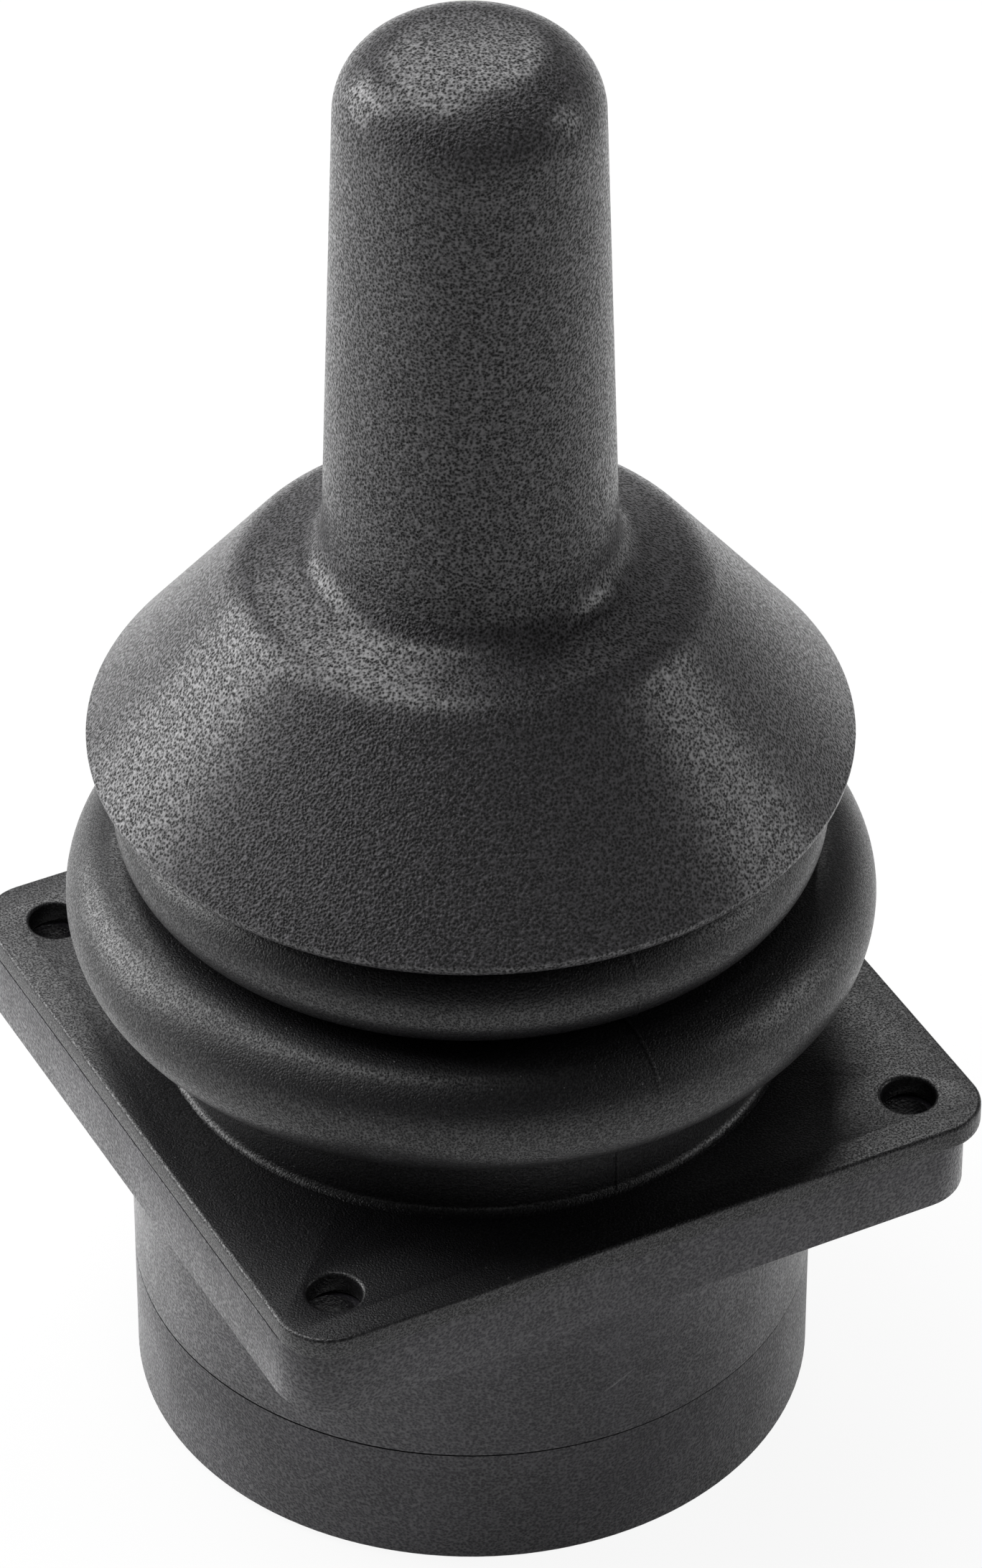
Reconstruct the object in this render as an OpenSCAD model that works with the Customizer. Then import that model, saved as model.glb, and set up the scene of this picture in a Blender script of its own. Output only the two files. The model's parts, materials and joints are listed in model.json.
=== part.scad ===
// Panel joystick: a two-axis, spring-centred control lever with a plain tapered grip,
// a rubber bellows boot with a square sealing flange, and a round body below the panel.
// Frame: origin at the centre of the base, +Z up along the lever, flange sides along X and Y.
// All sizes are in millimetres.

/* [Body] */
// Outer diameter of the round body below the flange
body_d = 54.4; // [50:0.1:60]
// Height from the base to the underside of the flange
body_h = 26.6; // [25:0.1:36]
// Height of the lower cover, which is where the seam runs round the body
cover_h = 11.5; // [10.5:0.1:13]
// Wall of the upper housing and of the lower cover
body_wall = 2.3; // [1.8:0.1:3]
// Floor of the lower cover
floor_t = 2; // [1.5:0.1:3]
// Chamfer round the edge of the base
base_chamfer = 0.6; // [0.2:0.1:1]
// Depth of the chamfers that form the seam groove
seam_groove = 0.3; // [0.1:0.05:0.6]
// Height of the lip that locates the cover inside the housing
cover_lip_h = 2; // [1:0.1:3]
// Thickness of the lip
cover_lip_t = 1.2; // [0.8:0.1:1.6]
// Clearance between pieces that are pushed into each other
slip_gap = 0.15; // [0.05:0.05:0.3]

/* [Flange] */
// Thickness of the plastic flange
flange_t = 5.7; // [4:0.1:8]
// Corner radius of the flange
flange_corner_r = 4.5; // [2:0.1:7]
// Distance between the mounting holes along each side
hole_pitch = 50; // [49:0.1:54]
// Distance from the middle of a hole to the edge of the plastic flange
hole_edge = 4.75; // [4.5:0.05:7]
// Diameter of the mounting holes
hole_d = 4.3; // [3.2:0.1:4.8]
// Skin left above the pockets under the flange
pocket_skin = 2.4; // [1.5:0.1:3.5]
// Width of the rim round the pockets and of the wall round each hole
pocket_rim = 2.1; // [1.5:0.1:2.5]

/* [Neck and gate] */
// Height of the neck above the plastic flange
neck_h = 8.2; // [7.5:0.1:9]
// Wall of the neck
neck_wall = 2.5; // [2:0.1:3]
// Depth of the groove that holds the bead of the boot
bead_groove = 0.9; // [0.6:0.1:1.2]
// Thickness of the gate plate
gate_t = 2; // [1.5:0.1:3]
// Clearance between the lever and the gate at full tilt
gate_gap = 0.3; // [0.2:0.05:1]
// Corner radius of the square gate opening
gate_corner_r = 4.5; // [2:0.1:5]
// Depth of the recess that locates the spring on the gate plate
spring_recess = 0.5; // [0.2:0.1:0.8]

/* [Boot] */
// Thickness of the rubber wall
boot_wall = 1.5; // [1.2:0.1:2]
// Distance by which the rubber flange stands out past the plastic one
boot_overhang = 0.55; // [0:0.05:1]
// Thickness of the rubber flange
boot_flange_t = 2; // [1.5:0.1:3]
// Corner radius of the rubber flange
boot_corner_r = 4.2; // [2:0.1:7]
// Outer diameter of the collar that grips the neck
collar_d = 48.8; // [47:0.1:50]
// Outer diameter of the lower roll
lower_roll_d = 63.2; // [60:0.1:66]
// Radius of the lower roll across its rubber
lower_roll_r = 4.95; // [4.5:0.05:5.5]
// Height of the middle of the lower roll above the rubber flange
lower_roll_h = 12.9; // [12:0.1:14]
// Outer diameter of the upper roll
upper_roll_d = 55.4; // [53:0.1:58]
// Radius of the upper roll across its rubber
upper_roll_r = 3.5; // [3:0.05:3.8]
// Gap between the two rolls at their crease
crease_gap = 0.35; // [0.2:0.05:1]
// Depth of the crease inwards from the middle of the narrower roll
crease_depth = 2.2; // [1.5:0.1:3]
// Fillet between the collar and the lower roll
collar_fillet = 0.5; // [0.3:0.05:1]
// Fillet between the top of the boot and its neck
boot_neck_fillet = 1; // [0.5:0.1:2]
// Height of the neck of the boot above its top
boot_neck_h = 5; // [4:0.1:7]
// Height of the beads that lock the boot
bead_h = 1.6; // [1:0.1:2]
// Clearance between the rubber and the rigid pieces near it
soft_gap = 0.3; // [0.2:0.05:0.5]

/* [Grip] */
// Diameter of the grip just below its rounded top
grip_top_d = 19.7; // [17:0.1:22]
// Rounding of the top edge of the grip
grip_top_round = 5.8; // [3:0.1:7]
// Rise of the gently domed top
grip_crown = 0.9; // [0.3:0.1:1.5]
// Diameter of the stem at its foot
stem_foot_d = 22.6; // [20:0.1:24]
// Fillet between the stem and the shoulder
stem_fillet = 3; // [1.5:0.1:5]
// Height of the stem above the shoulder
stem_h = 46.3; // [36:0.1:60]
// Diameter across the shoulder
shoulder_d = 35.6; // [30:0.1:38]
// Rounding of the shoulder
shoulder_round = 5; // [2:0.1:7]
// Fall of the shoulder between the stem and its edge
shoulder_fall = 2.1; // [1:0.1:3]
// Diameter of the rim of the skirt
rim_d = 59.1; // [56:0.1:64]
// Height of the skirt from the rim to the edge of the shoulder
skirt_h = 16; // [15:0.1:20]
// Height of the upright edge of the rim
rim_edge = 1.2; // [1.2:0.1:2]
// Rounding of the rim
rim_round = 1.1; // [0.6:0.1:1.1]
// Wall of the skirt and of the stem
grip_wall = 2.4; // [1.8:0.1:3]
// Gap between the top of the boot and the rim of the skirt
rim_gap = 2.2; // [2:0.1:5]
// Thickness of the ribs inside the stem
rib_t = 1.6; // [1:0.1:2.4]
// Wall of the boss round the insert
grip_boss_wall = 1.2; // [1:0.1:1.4]

/* [Lever] */
// Diameter of the lever shaft
shaft_d = 10; // [8:0.5:11]
// Diameter of the reduced, threaded end inside the grip
thread_d = 8; // [6:0.5:9]
// Length of shaft that enters the grip above the lock nut
shaft_in_grip = 32; // [24:0.5:36]
// Diameter of the collar that carries the spring cup
shaft_collar_d = 12.6; // [12:0.1:14]
// Height of that collar
shaft_collar_h = 1.6; // [1:0.1:2.5]
// Greatest tilt each way about each axis, in degrees
max_tilt = 18; // [10:0.5:18]
// Distance of the pivot below the top face of the plastic flange
pivot_drop = 5.3; // [4.5:0.1:6]
// Width across flats of the lock nut
nut_af = 13; // [12:0.1:14]
// Height of the lock nut
nut_h = 4.5; // [3:0.1:6]
// Length of the threaded insert
insert_l = 14; // [10:0.5:18]
// Wall of the threaded insert
insert_wall = 1.2; // [1:0.1:1.4]

/* [Gimbal] */
// Room between the gimbal ring and the inside of the neck
ring_gap = 3.3; // [3:0.1:4]
// Wall of the gimbal ring
ring_wall = 3.6; // [3:0.1:4.2]
// Height of the gimbal ring
ring_h = 8; // [7:0.1:9]
// Diameter of the gimbal pins and of the lever pin
pin_d = 4; // [3:0.1:4.4]
// Radial running clearance of the pins in their bushes
pin_gap = 0.03; // [0.01:0.01:0.08]
// Wall of the bushes
bush_wall = 1; // [0.8:0.1:1.2]
// Thickness of the flange of each bush
bush_flange_t = 0.8; // [0.5:0.1:1]
// Width of the flange of each bush beyond its sleeve
bush_flange_w = 1; // [0.6:0.1:1.2]
// Length of the sleeve of each bush in the housing
bush_l = 4; // [3:0.1:4.5]
// End play of the gimbal ring and of the lever hub
end_play = 0.2; // [0.1:0.05:0.4]
// Diameter of the upright hub on the lever
hub_d = 18; // [16:0.5:19]
// Height of the hub
hub_h = 11; // [9:0.5:12]
// Thickness of the clips on the lever pin
clip_t = 0.6; // [0.4:0.1:0.8]

/* [Pivot caps] */
// Width of the bearing blocks and of the caps along Y
block_w = 15; // [14:0.5:16]
// Height of a cap below the pivot
cap_h = 5; // [4.5:0.1:6]
// Distance between the two screws of a cap
cap_screw_pitch = 10.4; // [10:0.1:11]

/* [Return spring] */
// Diameter of the spring wire
wire_d = 1.4; // [1:0.1:1.5]
// Radius of the middle of the wire at the gate plate
spring_base_r = 16.2; // [15.8:0.1:16.6]
// Radius of the middle of the wire at the spring cup
spring_top_r = 9; // [8.5:0.1:10]
// Number of turns
spring_turns = 5; // [4:0.5:5.5]
// Thickness of the disc of the spring cup
cup_t = 1.6; // [1.2:0.1:2.5]
// Gap between the spring cup and the top of the boot
cup_gap = 1; // [0.6:0.1:1.5]
// Gap between the spring and its seats
spring_gap = 0.05; // [0.02:0.01:0.1]

/* [Circuit board] */
// Thickness of the circuit board
board_t = 1.6; // [1:0.1:2]
// Height of the posts that carry the board
post_h = 4.2; // [4.2:0.1:4.6]
// Gap between the edge of the board and the wall round it
board_gap = 0.8; // [0.4:0.1:1.5]
// Length of a chip
chip_l = 5; // [3:0.1:6]
// Width of a chip without its leads
chip_w = 4; // [2:0.1:5]
// Height of a chip, which is also that of the hall sensor
sensor_h = 1.2; // [0.8:0.1:1.5]
// Distance of the second chip from the middle of the board
chip_place = 10.5; // [9:0.1:12]
// Length of the voltage regulator
regulator_l = 3; // [2:0.1:4]
// Distance of the regulator and of the small parts from the middle
side_place = 9; // [8:0.1:10]
// Diameter of the two capacitors
capacitor_d = 3.2; // [2:0.1:4]
// Height of the two capacitors
capacitor_h = 1.8; // [1:0.1:2]
// Length of a small part
small_part_l = 1.6; // [1:0.1:2]
// Distance between the small parts
small_part_pitch = 2; // [1.5:0.1:2.2]
// Air gap between the hall sensor and the magnet holder
magnet_air = 3.6; // [3.5:0.1:5]
// Diameter of the magnet
magnet_d = 6; // [4:0.5:7]
// Height of the magnet
magnet_h = 4; // [2:0.5:4]

/* [Connector] */
// Number of contact pins
pin_count = 6; // [2:1:6]
// Distance between the contact pins
pin_pitch = 2.5; // [2:0.1:2.6]
// Width of a square contact pin
contact_w = 0.64; // [0.5:0.02:0.8]
// Width of the socket across the row of pins
socket_w = 6.6; // [6.2:0.1:7]
// Wall of the socket
socket_wall = 1; // [0.8:0.1:1.4]
// Distance of the row of pins from one side of the socket
row_inset = 1.3; // [1:0.05:1.4]
// Distance of the middle of the socket from the lever axis
socket_offset = 11; // [10.5:0.1:12]

/* [Screws] */
// Diameter of the cover screws
cover_screw_d = 3; // [2.5:0.1:3.2]
// Length of a cover screw under its head
cover_screw_l = 14; // [13:0.5:16]
// Diameter of the small screws
small_screw_d = 2; // [1.6:0.1:2.2]
// Length of a small screw under its head
small_screw_l = 5; // [4:0.5:5.5]
// Head diameter of a screw for each millimetre of its thread
head_ratio = 1.85; // [1.6:0.05:1.9]
// Head height of a screw for each millimetre of its thread
head_h_ratio = 0.7; // [0.6:0.05:0.8]
// Wall of plastic round a screw
screw_wall = 1.9; // [1.5:0.1:2]

/* [Hidden] */
$fn = 72;
eps = 0.01;
sink = 0.3;

// Flanges
flange_w = hole_pitch + 2 * hole_edge;
boot_flange_w = flange_w + 2 * boot_overhang;

// Heights, from the base upwards
board_z = floor_t + post_h;
board_top = board_z + board_t;
flange_top = body_h + flange_t;
pivot_z = flange_top - pivot_drop;
neck_top = flange_top + neck_h;
gate_top = neck_top + gate_t;
boot_face = flange_top + boot_flange_t;
lower_roll_z = boot_face + lower_roll_h;
upper_roll_z = lower_roll_z + lower_roll_r + crease_gap + upper_roll_r;
boot_top = upper_roll_z + upper_roll_r;
boot_under = boot_top - boot_wall;
boot_neck_top = boot_top + boot_neck_h;
cup_top = boot_under - cup_gap;
cup_under = cup_top - cup_t;
seat_lip = 1.2;
seat_top = boot_neck_top + soft_gap + seat_lip;
nut_top = seat_top + nut_h;
rim_z = boot_top + rim_gap;
shoulder_z = rim_z + skirt_h;
stem_foot_z = shoulder_z + shoulder_fall;
grip_top_z = shoulder_z + stem_h + grip_crown;

// Radii
body_r = body_d / 2;
cavity_r = body_r - body_wall;
collar_in_r = collar_d / 2 - boot_wall;
neck_r = collar_in_r - soft_gap;
neck_in_r = neck_r - neck_wall;
ring_r = neck_in_r - ring_gap;
ring_in_r = ring_r - ring_wall;
shaft_r = shaft_d / 2;
thread_r = thread_d / 2;
pin_r = pin_d / 2;
bush_in_r = pin_r + pin_gap;
bush_r = bush_in_r + bush_wall;
bush_flange_r = bush_r + bush_flange_w;
seat_r = shaft_r + 4;

// The lever in the gate: how far it leans, and how wide it is, at the top of the gate plate
gate_rise = gate_top - pivot_z;
gate_lean = gate_rise * tan(max_tilt) / cos(max_tilt);
gate_half = gate_lean + shaft_r / cos(max_tilt) + gate_gap;

// Screws
cover_head_r = cover_screw_d * head_ratio / 2;
cover_head_h = cover_screw_d * head_h_ratio;
small_head_r = small_screw_d * head_ratio / 2;
small_head_h = small_screw_d * head_h_ratio;
cover_boss_r = cover_head_r + 1;
cover_boss_pos = cavity_r - cover_boss_r + sink;
housing_boss_r = cover_screw_d / 2 + screw_wall;
housing_boss_h = cover_screw_l - (cover_h - 2 * cover_head_h) + 1;
small_boss_r = small_screw_d / 2 + screw_wall * 0.75;
gate_screw_pos = neck_r - small_head_r - soft_gap;
gate_boss_h = small_screw_l - gate_t + 1;

// Bearing blocks
block_x = ring_r + end_play + bush_flange_t;

cap_screw_x = (block_x + cavity_r) / 2;
cap_bite = small_screw_l - 1;

// Lower cover and its gasket
gasket_t = 0.5;
lip_in_r = cavity_r - slip_gap - cover_lip_t;
lip_top = cover_h + cover_lip_h;
cover_seat_z = 2 * cover_head_h;

// Boot neck and its seat on the lever
seat_groove = 1.2;
boot_neck_r = seat_r + soft_gap + boot_wall;

// Circuit board, its posts and the connector
board_r = lip_in_r - board_gap;
post_pos = board_r - small_boss_r;
socket_l = pin_count * pin_pitch;
socket_out_l = socket_l + 2 * socket_wall;
socket_out_w = socket_w + 2 * socket_wall;
socket_mouth_z = 0.3;
socket_depth = board_z - socket_mouth_z - socket_wall;
contact_y = -socket_offset - socket_w / 2 + row_inset;

// Gimbal ring: its round part is held back so that the pads stand proud
ring_pad_r = ring_r - 0.2;
ring_flat_y = ring_in_r - 0.5;

// Lever, from its foot upwards
hub_half_y = ring_flat_y - bush_flange_t - end_play;
hub_bottom_z = pivot_z - hub_h / 2;
magnet_holder_z = board_top + sensor_h + magnet_air;
shaft_foot_r = shaft_r - 1.5;
magnet_holder_r = max(shaft_foot_r, magnet_d / 2) + 1.6;
shaft_end_z = magnet_holder_z + magnet_h;
shaft_collar_z = cup_under - wire_d - shaft_collar_h;
shaft_step_z = seat_top - end_play;
shaft_top_z = nut_top + shaft_in_grip;
clip_bite = 0.5;
clip_y = ring_r + end_play;
lever_pin_end = clip_y + clip_t + 0.8;
cup_spigot_r = spring_top_r - wire_d / 2 - slip_gap;
cup_r = spring_top_r + wire_d;
spring_h = cup_under - spring_gap - (gate_top - spring_recess + spring_gap);

// Grip
insert_r = thread_r + insert_wall;
grip_boss_r = insert_r + grip_boss_wall;

// ---------- shared shapes ----------

// Points along an arc in the plane of a profile
function arc(c, r, from, to, n = 12) =
    [for (i = [0:n]) let (a = from + (to - from) * i / n) [c.x + r * cos(a), c.y + r * sin(a)]];

function reversed(list) = [for (i = [len(list) - 1:-1:0]) list[i]];

function unit(v) = v / norm(v);

// Points of the arc that rounds corner b of the path a, b, c to radius r
function round_corner(a, b, c, r, n = 10) =
    let (u = unit(a - b), v = unit(c - b), half = acos(u * v) / 2)
    let (m = b + unit(u + v) * r / sin(half))
    let (p = b + u * r / tan(half) - m, q = b + v * r / tan(half) - m)
    let (start = atan2(p.y, p.x), turn = atan2(q.y, q.x) - start)
    let (sweep = turn > 180 ? turn - 360 : turn < -180 ? turn + 360 : turn)
    arc(m, r, start, start + sweep, n);

module ring(r_out, r_in, h) {
    difference() {
        cylinder(r = r_out, h = h);
        translate([0, 0, -1]) cylinder(r = r_in, h = h + 2);
    }
}

module rounded_square(w, r) {
    square([w, w - 2 * r], center = true);
    square([w - 2 * r, w], center = true);
    four_corners(w / 2 - r) circle(r = r);
}

// Places a copy at each corner of a square of half width d
module four_corners(d) {
    for (x = [-1, 1], y = [-1, 1])
        translate([x * d, y * d]) children();
}

module mounting_holes(z, h) {
    translate([0, 0, z - 1]) four_corners(hole_pitch / 2) cylinder(d = hole_d, h = h + 2);
}

// Places a copy on each of the four diagonals, at radius r
module on_diagonals(r) {
    four_corners(r * sin(45)) children();
}

// Turns a shape so that its +Z points along +X or along +Y
module along_x() rotate([0, 90, 0]) children();
module along_y() rotate([-90, 0, 0]) children();

// A copy on each side of the lever axis, along X or along Y
module both_x() {
    children();
    mirror([1, 0, 0]) children();
}
module both_y() {
    children();
    mirror([0, 1, 0]) children();
}

// Pan head screw with its shank upwards and its head below z = 0
module screw(d, l) {
    head_r = d * head_ratio / 2;
    head_h = d * head_h_ratio;
    difference() {
        union() {
            cylinder(d = d, h = l);
            translate([0, 0, -head_h]) cylinder(r1 = head_r * 0.8, r2 = head_r, h = head_h * 0.4);
            translate([0, 0, -head_h * 0.6]) cylinder(r = head_r, h = head_h * 0.6);
        }
        for (turn = [0, 90])
            rotate([0, 0, turn]) translate([0, 0, -head_h])
                cube([head_r * 1.1, head_r * 0.25, head_h], center = true);
    }
}

// ---------- housing ----------

// Body, flange and neck as one hollow moulding
module housing_shell() {
    difference() {
        union() {
            rotate_extrude() polygon([
                [cavity_r, cover_h], [body_r - seam_groove, cover_h],
                [body_r, cover_h + seam_groove], [body_r, body_h + eps], [cavity_r, body_h + eps]]);
            difference() {
                translate([0, 0, body_h]) linear_extrude(flange_t)
                    rounded_square(flange_w, flange_corner_r);
                translate([0, 0, body_h - 1]) cylinder(r = cavity_r, h = flange_t - body_wall + 1);
                flange_pockets();
            }
            translate([0, 0, flange_top - eps]) cylinder(r = neck_r, h = neck_h + eps);
        }
        translate([0, 0, body_h]) cylinder(r = neck_in_r, h = flange_t + neck_h + 1);
        // groove for the bead of the boot
        translate([0, 0, boot_face + soft_gap])
            ring(neck_r + 1, neck_r - bead_groove, bead_h + 2 * soft_gap);
        mounting_holes(body_h, flange_t);
    }
}

// Cored pockets under the corners of the flange, with a rib to each screw boss
module flange_pockets() {
    translate([0, 0, body_h - 1]) linear_extrude(flange_t - pocket_skin + 1) difference() {
        rounded_square(flange_w - 2 * pocket_rim, max(flange_corner_r - pocket_rim, 0.5));
        circle(r = body_r + pocket_rim / 2);
        four_corners(hole_pitch / 2) circle(d = hole_d + 2 * pocket_rim);
        for (turn = [45, -45])
            rotate([0, 0, turn]) square([2 * flange_w, rib_t], center = true);
    }
}

// Upper half of a gimbal bearing, hung from the top plate and joined to the wall
module bearing_block() {
    intersection() {
        translate([block_x, -block_w / 2, pivot_z]) cube([body_r, block_w, pivot_drop]);
        cylinder(r = cavity_r + sink, h = flange_top);
    }
}

// Bosses for the cover screws, each joined to the wall by a web
module cover_screw_bosses() {
    translate([0, 0, cover_h]) intersection() {
        cylinder(r = cavity_r + sink, h = housing_boss_h);
        on_diagonals(cover_boss_pos) cylinder(r = housing_boss_r, h = housing_boss_h);
    }
    translate([0, 0, cover_h]) intersection() {
        ring(cavity_r + sink, cover_boss_pos, housing_boss_h);
        for (turn = [45, -45])
            rotate([0, 0, turn]) translate([-body_r, -rib_t / 2, 0])
                cube([2 * body_r, rib_t, housing_boss_h]);
    }
}

// Bosses for the gate screws, inside the neck
module gate_screw_bosses() {
    translate([0, 0, neck_top - gate_boss_h]) intersection() {
        cylinder(r = neck_in_r + sink, h = gate_boss_h);
        on_diagonals(gate_screw_pos) cylinder(r = small_boss_r, h = gate_boss_h);
    }
}

module upper_housing() {
    color([0.10, 0.10, 0.11]) difference() {
        union() {
            housing_shell();
            both_x() bearing_block();
            cover_screw_bosses();
            gate_screw_bosses();
        }
        // saddles for the bushes, and holes for the cap screws
        both_x() translate([block_x - 1, 0, pivot_z])
            along_x() cylinder(r = bush_r, h = bush_l + 1);
        cap_screw_places() cylinder(d = small_screw_d, h = cap_bite + 0.5);
        translate([0, 0, cover_h - 1]) on_diagonals(cover_boss_pos)
            cylinder(d = cover_screw_d, h = housing_boss_h);
        translate([0, 0, neck_top - gate_boss_h + 0.5]) on_diagonals(gate_screw_pos)
            cylinder(d = small_screw_d, h = gate_boss_h);
    }
}

// Places a copy at the pivot height for each of the four cap screws
module cap_screw_places() {
    both_x() both_y()
        translate([cap_screw_x, cap_screw_pitch / 2, pivot_z]) children();
}

// Cup with screw columns, board posts and a window for the socket
module lower_cover() {
    color([0.09, 0.09, 0.10]) difference() {
        union() {
            rotate_extrude() polygon([
                [0, 0], [body_r - base_chamfer, 0], [body_r, base_chamfer],
                [body_r, cover_h - gasket_t - seam_groove], [body_r - seam_groove, cover_h - gasket_t],
                [cavity_r - slip_gap, cover_h - gasket_t], [cavity_r - slip_gap, lip_top],
                [lip_in_r, lip_top], [lip_in_r, floor_t], [0, floor_t]]);
            intersection() {
                cylinder(r = lip_in_r + sink, h = cover_h);
                on_diagonals(cover_boss_pos) cylinder(r = cover_boss_r, h = cover_h);
            }
            board_post_places() cylinder(r = small_boss_r, h = board_z);
        }
        on_diagonals(cover_boss_pos) {
            translate([0, 0, -1]) cylinder(d = cover_screw_d + 2 * slip_gap, h = cover_h + 2);
            translate([0, 0, -1]) cylinder(r = cover_head_r + slip_gap, h = cover_seat_z + 1);
        }
        // room for the housing bosses and their webs beside the lip
        translate([0, 0, cover_h]) on_diagonals(cover_boss_pos)
            cylinder(r = housing_boss_r + slip_gap, h = cover_lip_h + 1);
        translate([0, 0, cover_h]) for (turn = [45, -45])
            rotate([0, 0, turn]) translate([-body_r, -rib_t / 2 - slip_gap, 0])
                cube([2 * body_r, rib_t + 2 * slip_gap, cover_lip_h + 1]);
        board_post_places() translate([0, 0, board_top - small_screw_l - 0.5])
            cylinder(d = small_screw_d, h = small_screw_l + 1);
        translate([-socket_out_l / 2 - slip_gap, -socket_offset - socket_out_w / 2 - slip_gap, -1])
            cube([socket_out_l + 2 * slip_gap, socket_out_w + 2 * slip_gap, floor_t + 2]);
    }
}

// Flat gasket in the seam, inside the outer edge
module cover_gasket() {
    color([0.16, 0.16, 0.17]) translate([0, 0, cover_h - gasket_t])
        ring(body_r - seam_groove, cavity_r, gasket_t);
}

module cover_screws() {
    color([0.62, 0.63, 0.65]) translate([0, 0, cover_seat_z]) on_diagonals(cover_boss_pos)
        screw(cover_screw_d, cover_screw_l);
}

// ---------- boot ----------

// Face of the boot from the collar to the neck; inset is 0 on the outside
// and the wall thickness on the inside
function boot_face_path(inset) =
    let (r1 = lower_roll_r, c1 = [lower_roll_d / 2 - r1, lower_roll_z])
    let (r2 = upper_roll_r, c2 = [upper_roll_d / 2 - r2, upper_roll_z])
    let (f = collar_fillet, fx = collar_d / 2 + f)
    let (over = min(c1.x - fx, 0), rise = sqrt(pow(f + r1, 2) - pow(over, 2)))
    let (lean = atan2(rise, over), crease_x = min(c1.x, c2.x) - crease_depth)
    let (crease = [crease_x + crease_gap / 2, lower_roll_z + r1 + crease_gap / 2])
    let (nf = boot_neck_fillet, neck = [boot_neck_r + nf, boot_top + nf])
    concat(
        [[collar_d / 2 - inset, flange_top]],
        arc([fx, lower_roll_z - rise], f + inset, 180, lean),
        arc(c1, r1 - inset, lean - 180, 90, 24),
        arc(crease, crease_gap / 2 + inset, 270, 90),
        arc(c2, r2 - inset, -90, 90, 20),
        arc(neck, nf + inset, 270, 180, 8),
        [[boot_neck_r - inset, boot_neck_top]]);

// Bead inside the rubber, with a sloping lead-in
module bead(r, reach, z) {
    translate([0, 0, z]) rotate_extrude() polygon([
        [r + sink, 0], [r, 0], [r - reach, bead_h * 0.3], [r - reach, bead_h * 0.7], [r, bead_h],
        [r + sink, bead_h]]);
}

module boot() {
    color([0.13, 0.13, 0.13]) {
        difference() {
            translate([0, 0, flange_top]) linear_extrude(boot_flange_t)
                rounded_square(boot_flange_w, boot_corner_r);
            translate([0, 0, flange_top - 1]) cylinder(r = collar_in_r, h = boot_flange_t + 2);
            mounting_holes(flange_top, boot_flange_t);
        }
        rotate_extrude() polygon(concat(boot_face_path(0), reversed(boot_face_path(boot_wall))));
        bead(collar_in_r, bead_groove, boot_face + 2 * soft_gap);
        bead(boot_neck_r - boot_wall, seat_groove - soft_gap, boot_neck_top - bead_h);
    }
}

// ---------- gimbal bearings and gate ----------

// Lower half of each gimbal bearing
module pivot_caps() {
    color([0.20, 0.20, 0.21]) both_x() difference() {
        intersection() {
            translate([block_x, -block_w / 2, pivot_z - cap_h]) cube([body_r, block_w, cap_h]);
            cylinder(r = cavity_r - slip_gap, h = pivot_z);
        }
        translate([block_x - 1, 0, pivot_z]) along_x() cylinder(r = bush_r, h = bush_l + 1);
        both_y() translate([cap_screw_x, cap_screw_pitch / 2, pivot_z - cap_h - 1])
            cylinder(d = small_screw_d, h = cap_h + 2);
    }
}

module cap_screws() {
    color([0.62, 0.63, 0.65]) cap_screw_places() translate([0, 0, -cap_h])
        screw(small_screw_d, cap_h + cap_bite);
}

// Flanged sleeve along +Z, with its flange at the foot
module bush(l) {
    difference() {
        union() {
            cylinder(r = bush_flange_r, h = bush_flange_t);
            cylinder(r = bush_r, h = bush_flange_t + l);
        }
        translate([0, 0, -1]) cylinder(r = bush_in_r, h = bush_flange_t + l + 2);
    }
}

module housing_bushes() {
    color([0.80, 0.72, 0.50]) both_x() translate([block_x - bush_flange_t, 0, pivot_z])
        along_x() bush(bush_l);
}

// Plate with the square opening that limits the lever, and a seat for the spring
module gate_plate() {
    color([0.55, 0.56, 0.58]) translate([0, 0, neck_top]) difference() {
        cylinder(r = neck_r, h = gate_t);
        translate([0, 0, -1]) linear_extrude(gate_t + 2)
            rounded_square(2 * gate_half, gate_corner_r);
        translate([0, 0, gate_t - spring_recess])
            ring(spring_base_r + wire_d / 2 + slip_gap, spring_base_r - wire_d, 2);
        translate([0, 0, -1]) on_diagonals(gate_screw_pos) cylinder(d = small_screw_d, h = gate_t + 2);
    }
}

module gate_screws() {
    color([0.62, 0.63, 0.65]) translate([0, 0, gate_top]) on_diagonals(gate_screw_pos)
        rotate([180, 0, 0]) screw(small_screw_d, small_screw_l);
}

// ---------- electronics ----------

// Places a copy at each of the three board posts
module board_post_places() {
    for (turn = [0, 90, 180])
        rotate([0, 0, turn]) translate([post_pos, 0, 0]) children();
}

module circuit_board() {
    color([0.05, 0.22, 0.13]) difference() {
        translate([0, 0, board_z]) cylinder(r = board_r, h = board_t);
        translate([0, 0, board_z - 1]) on_diagonals(cover_boss_pos)
            cylinder(r = cover_boss_r + board_gap, h = board_t + 2);
        translate([0, 0, board_z - 1]) board_post_places() cylinder(d = small_screw_d, h = board_t + 2);
        contact_places() translate([-contact_w / 2, -contact_w / 2, board_z - 1])
            cube([contact_w, contact_w, board_t + 2]);
    }
}

module board_screws() {
    color([0.62, 0.63, 0.65]) board_post_places() translate([0, 0, board_top])
        rotate([180, 0, 0]) screw(small_screw_d, small_screw_l);
}

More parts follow.
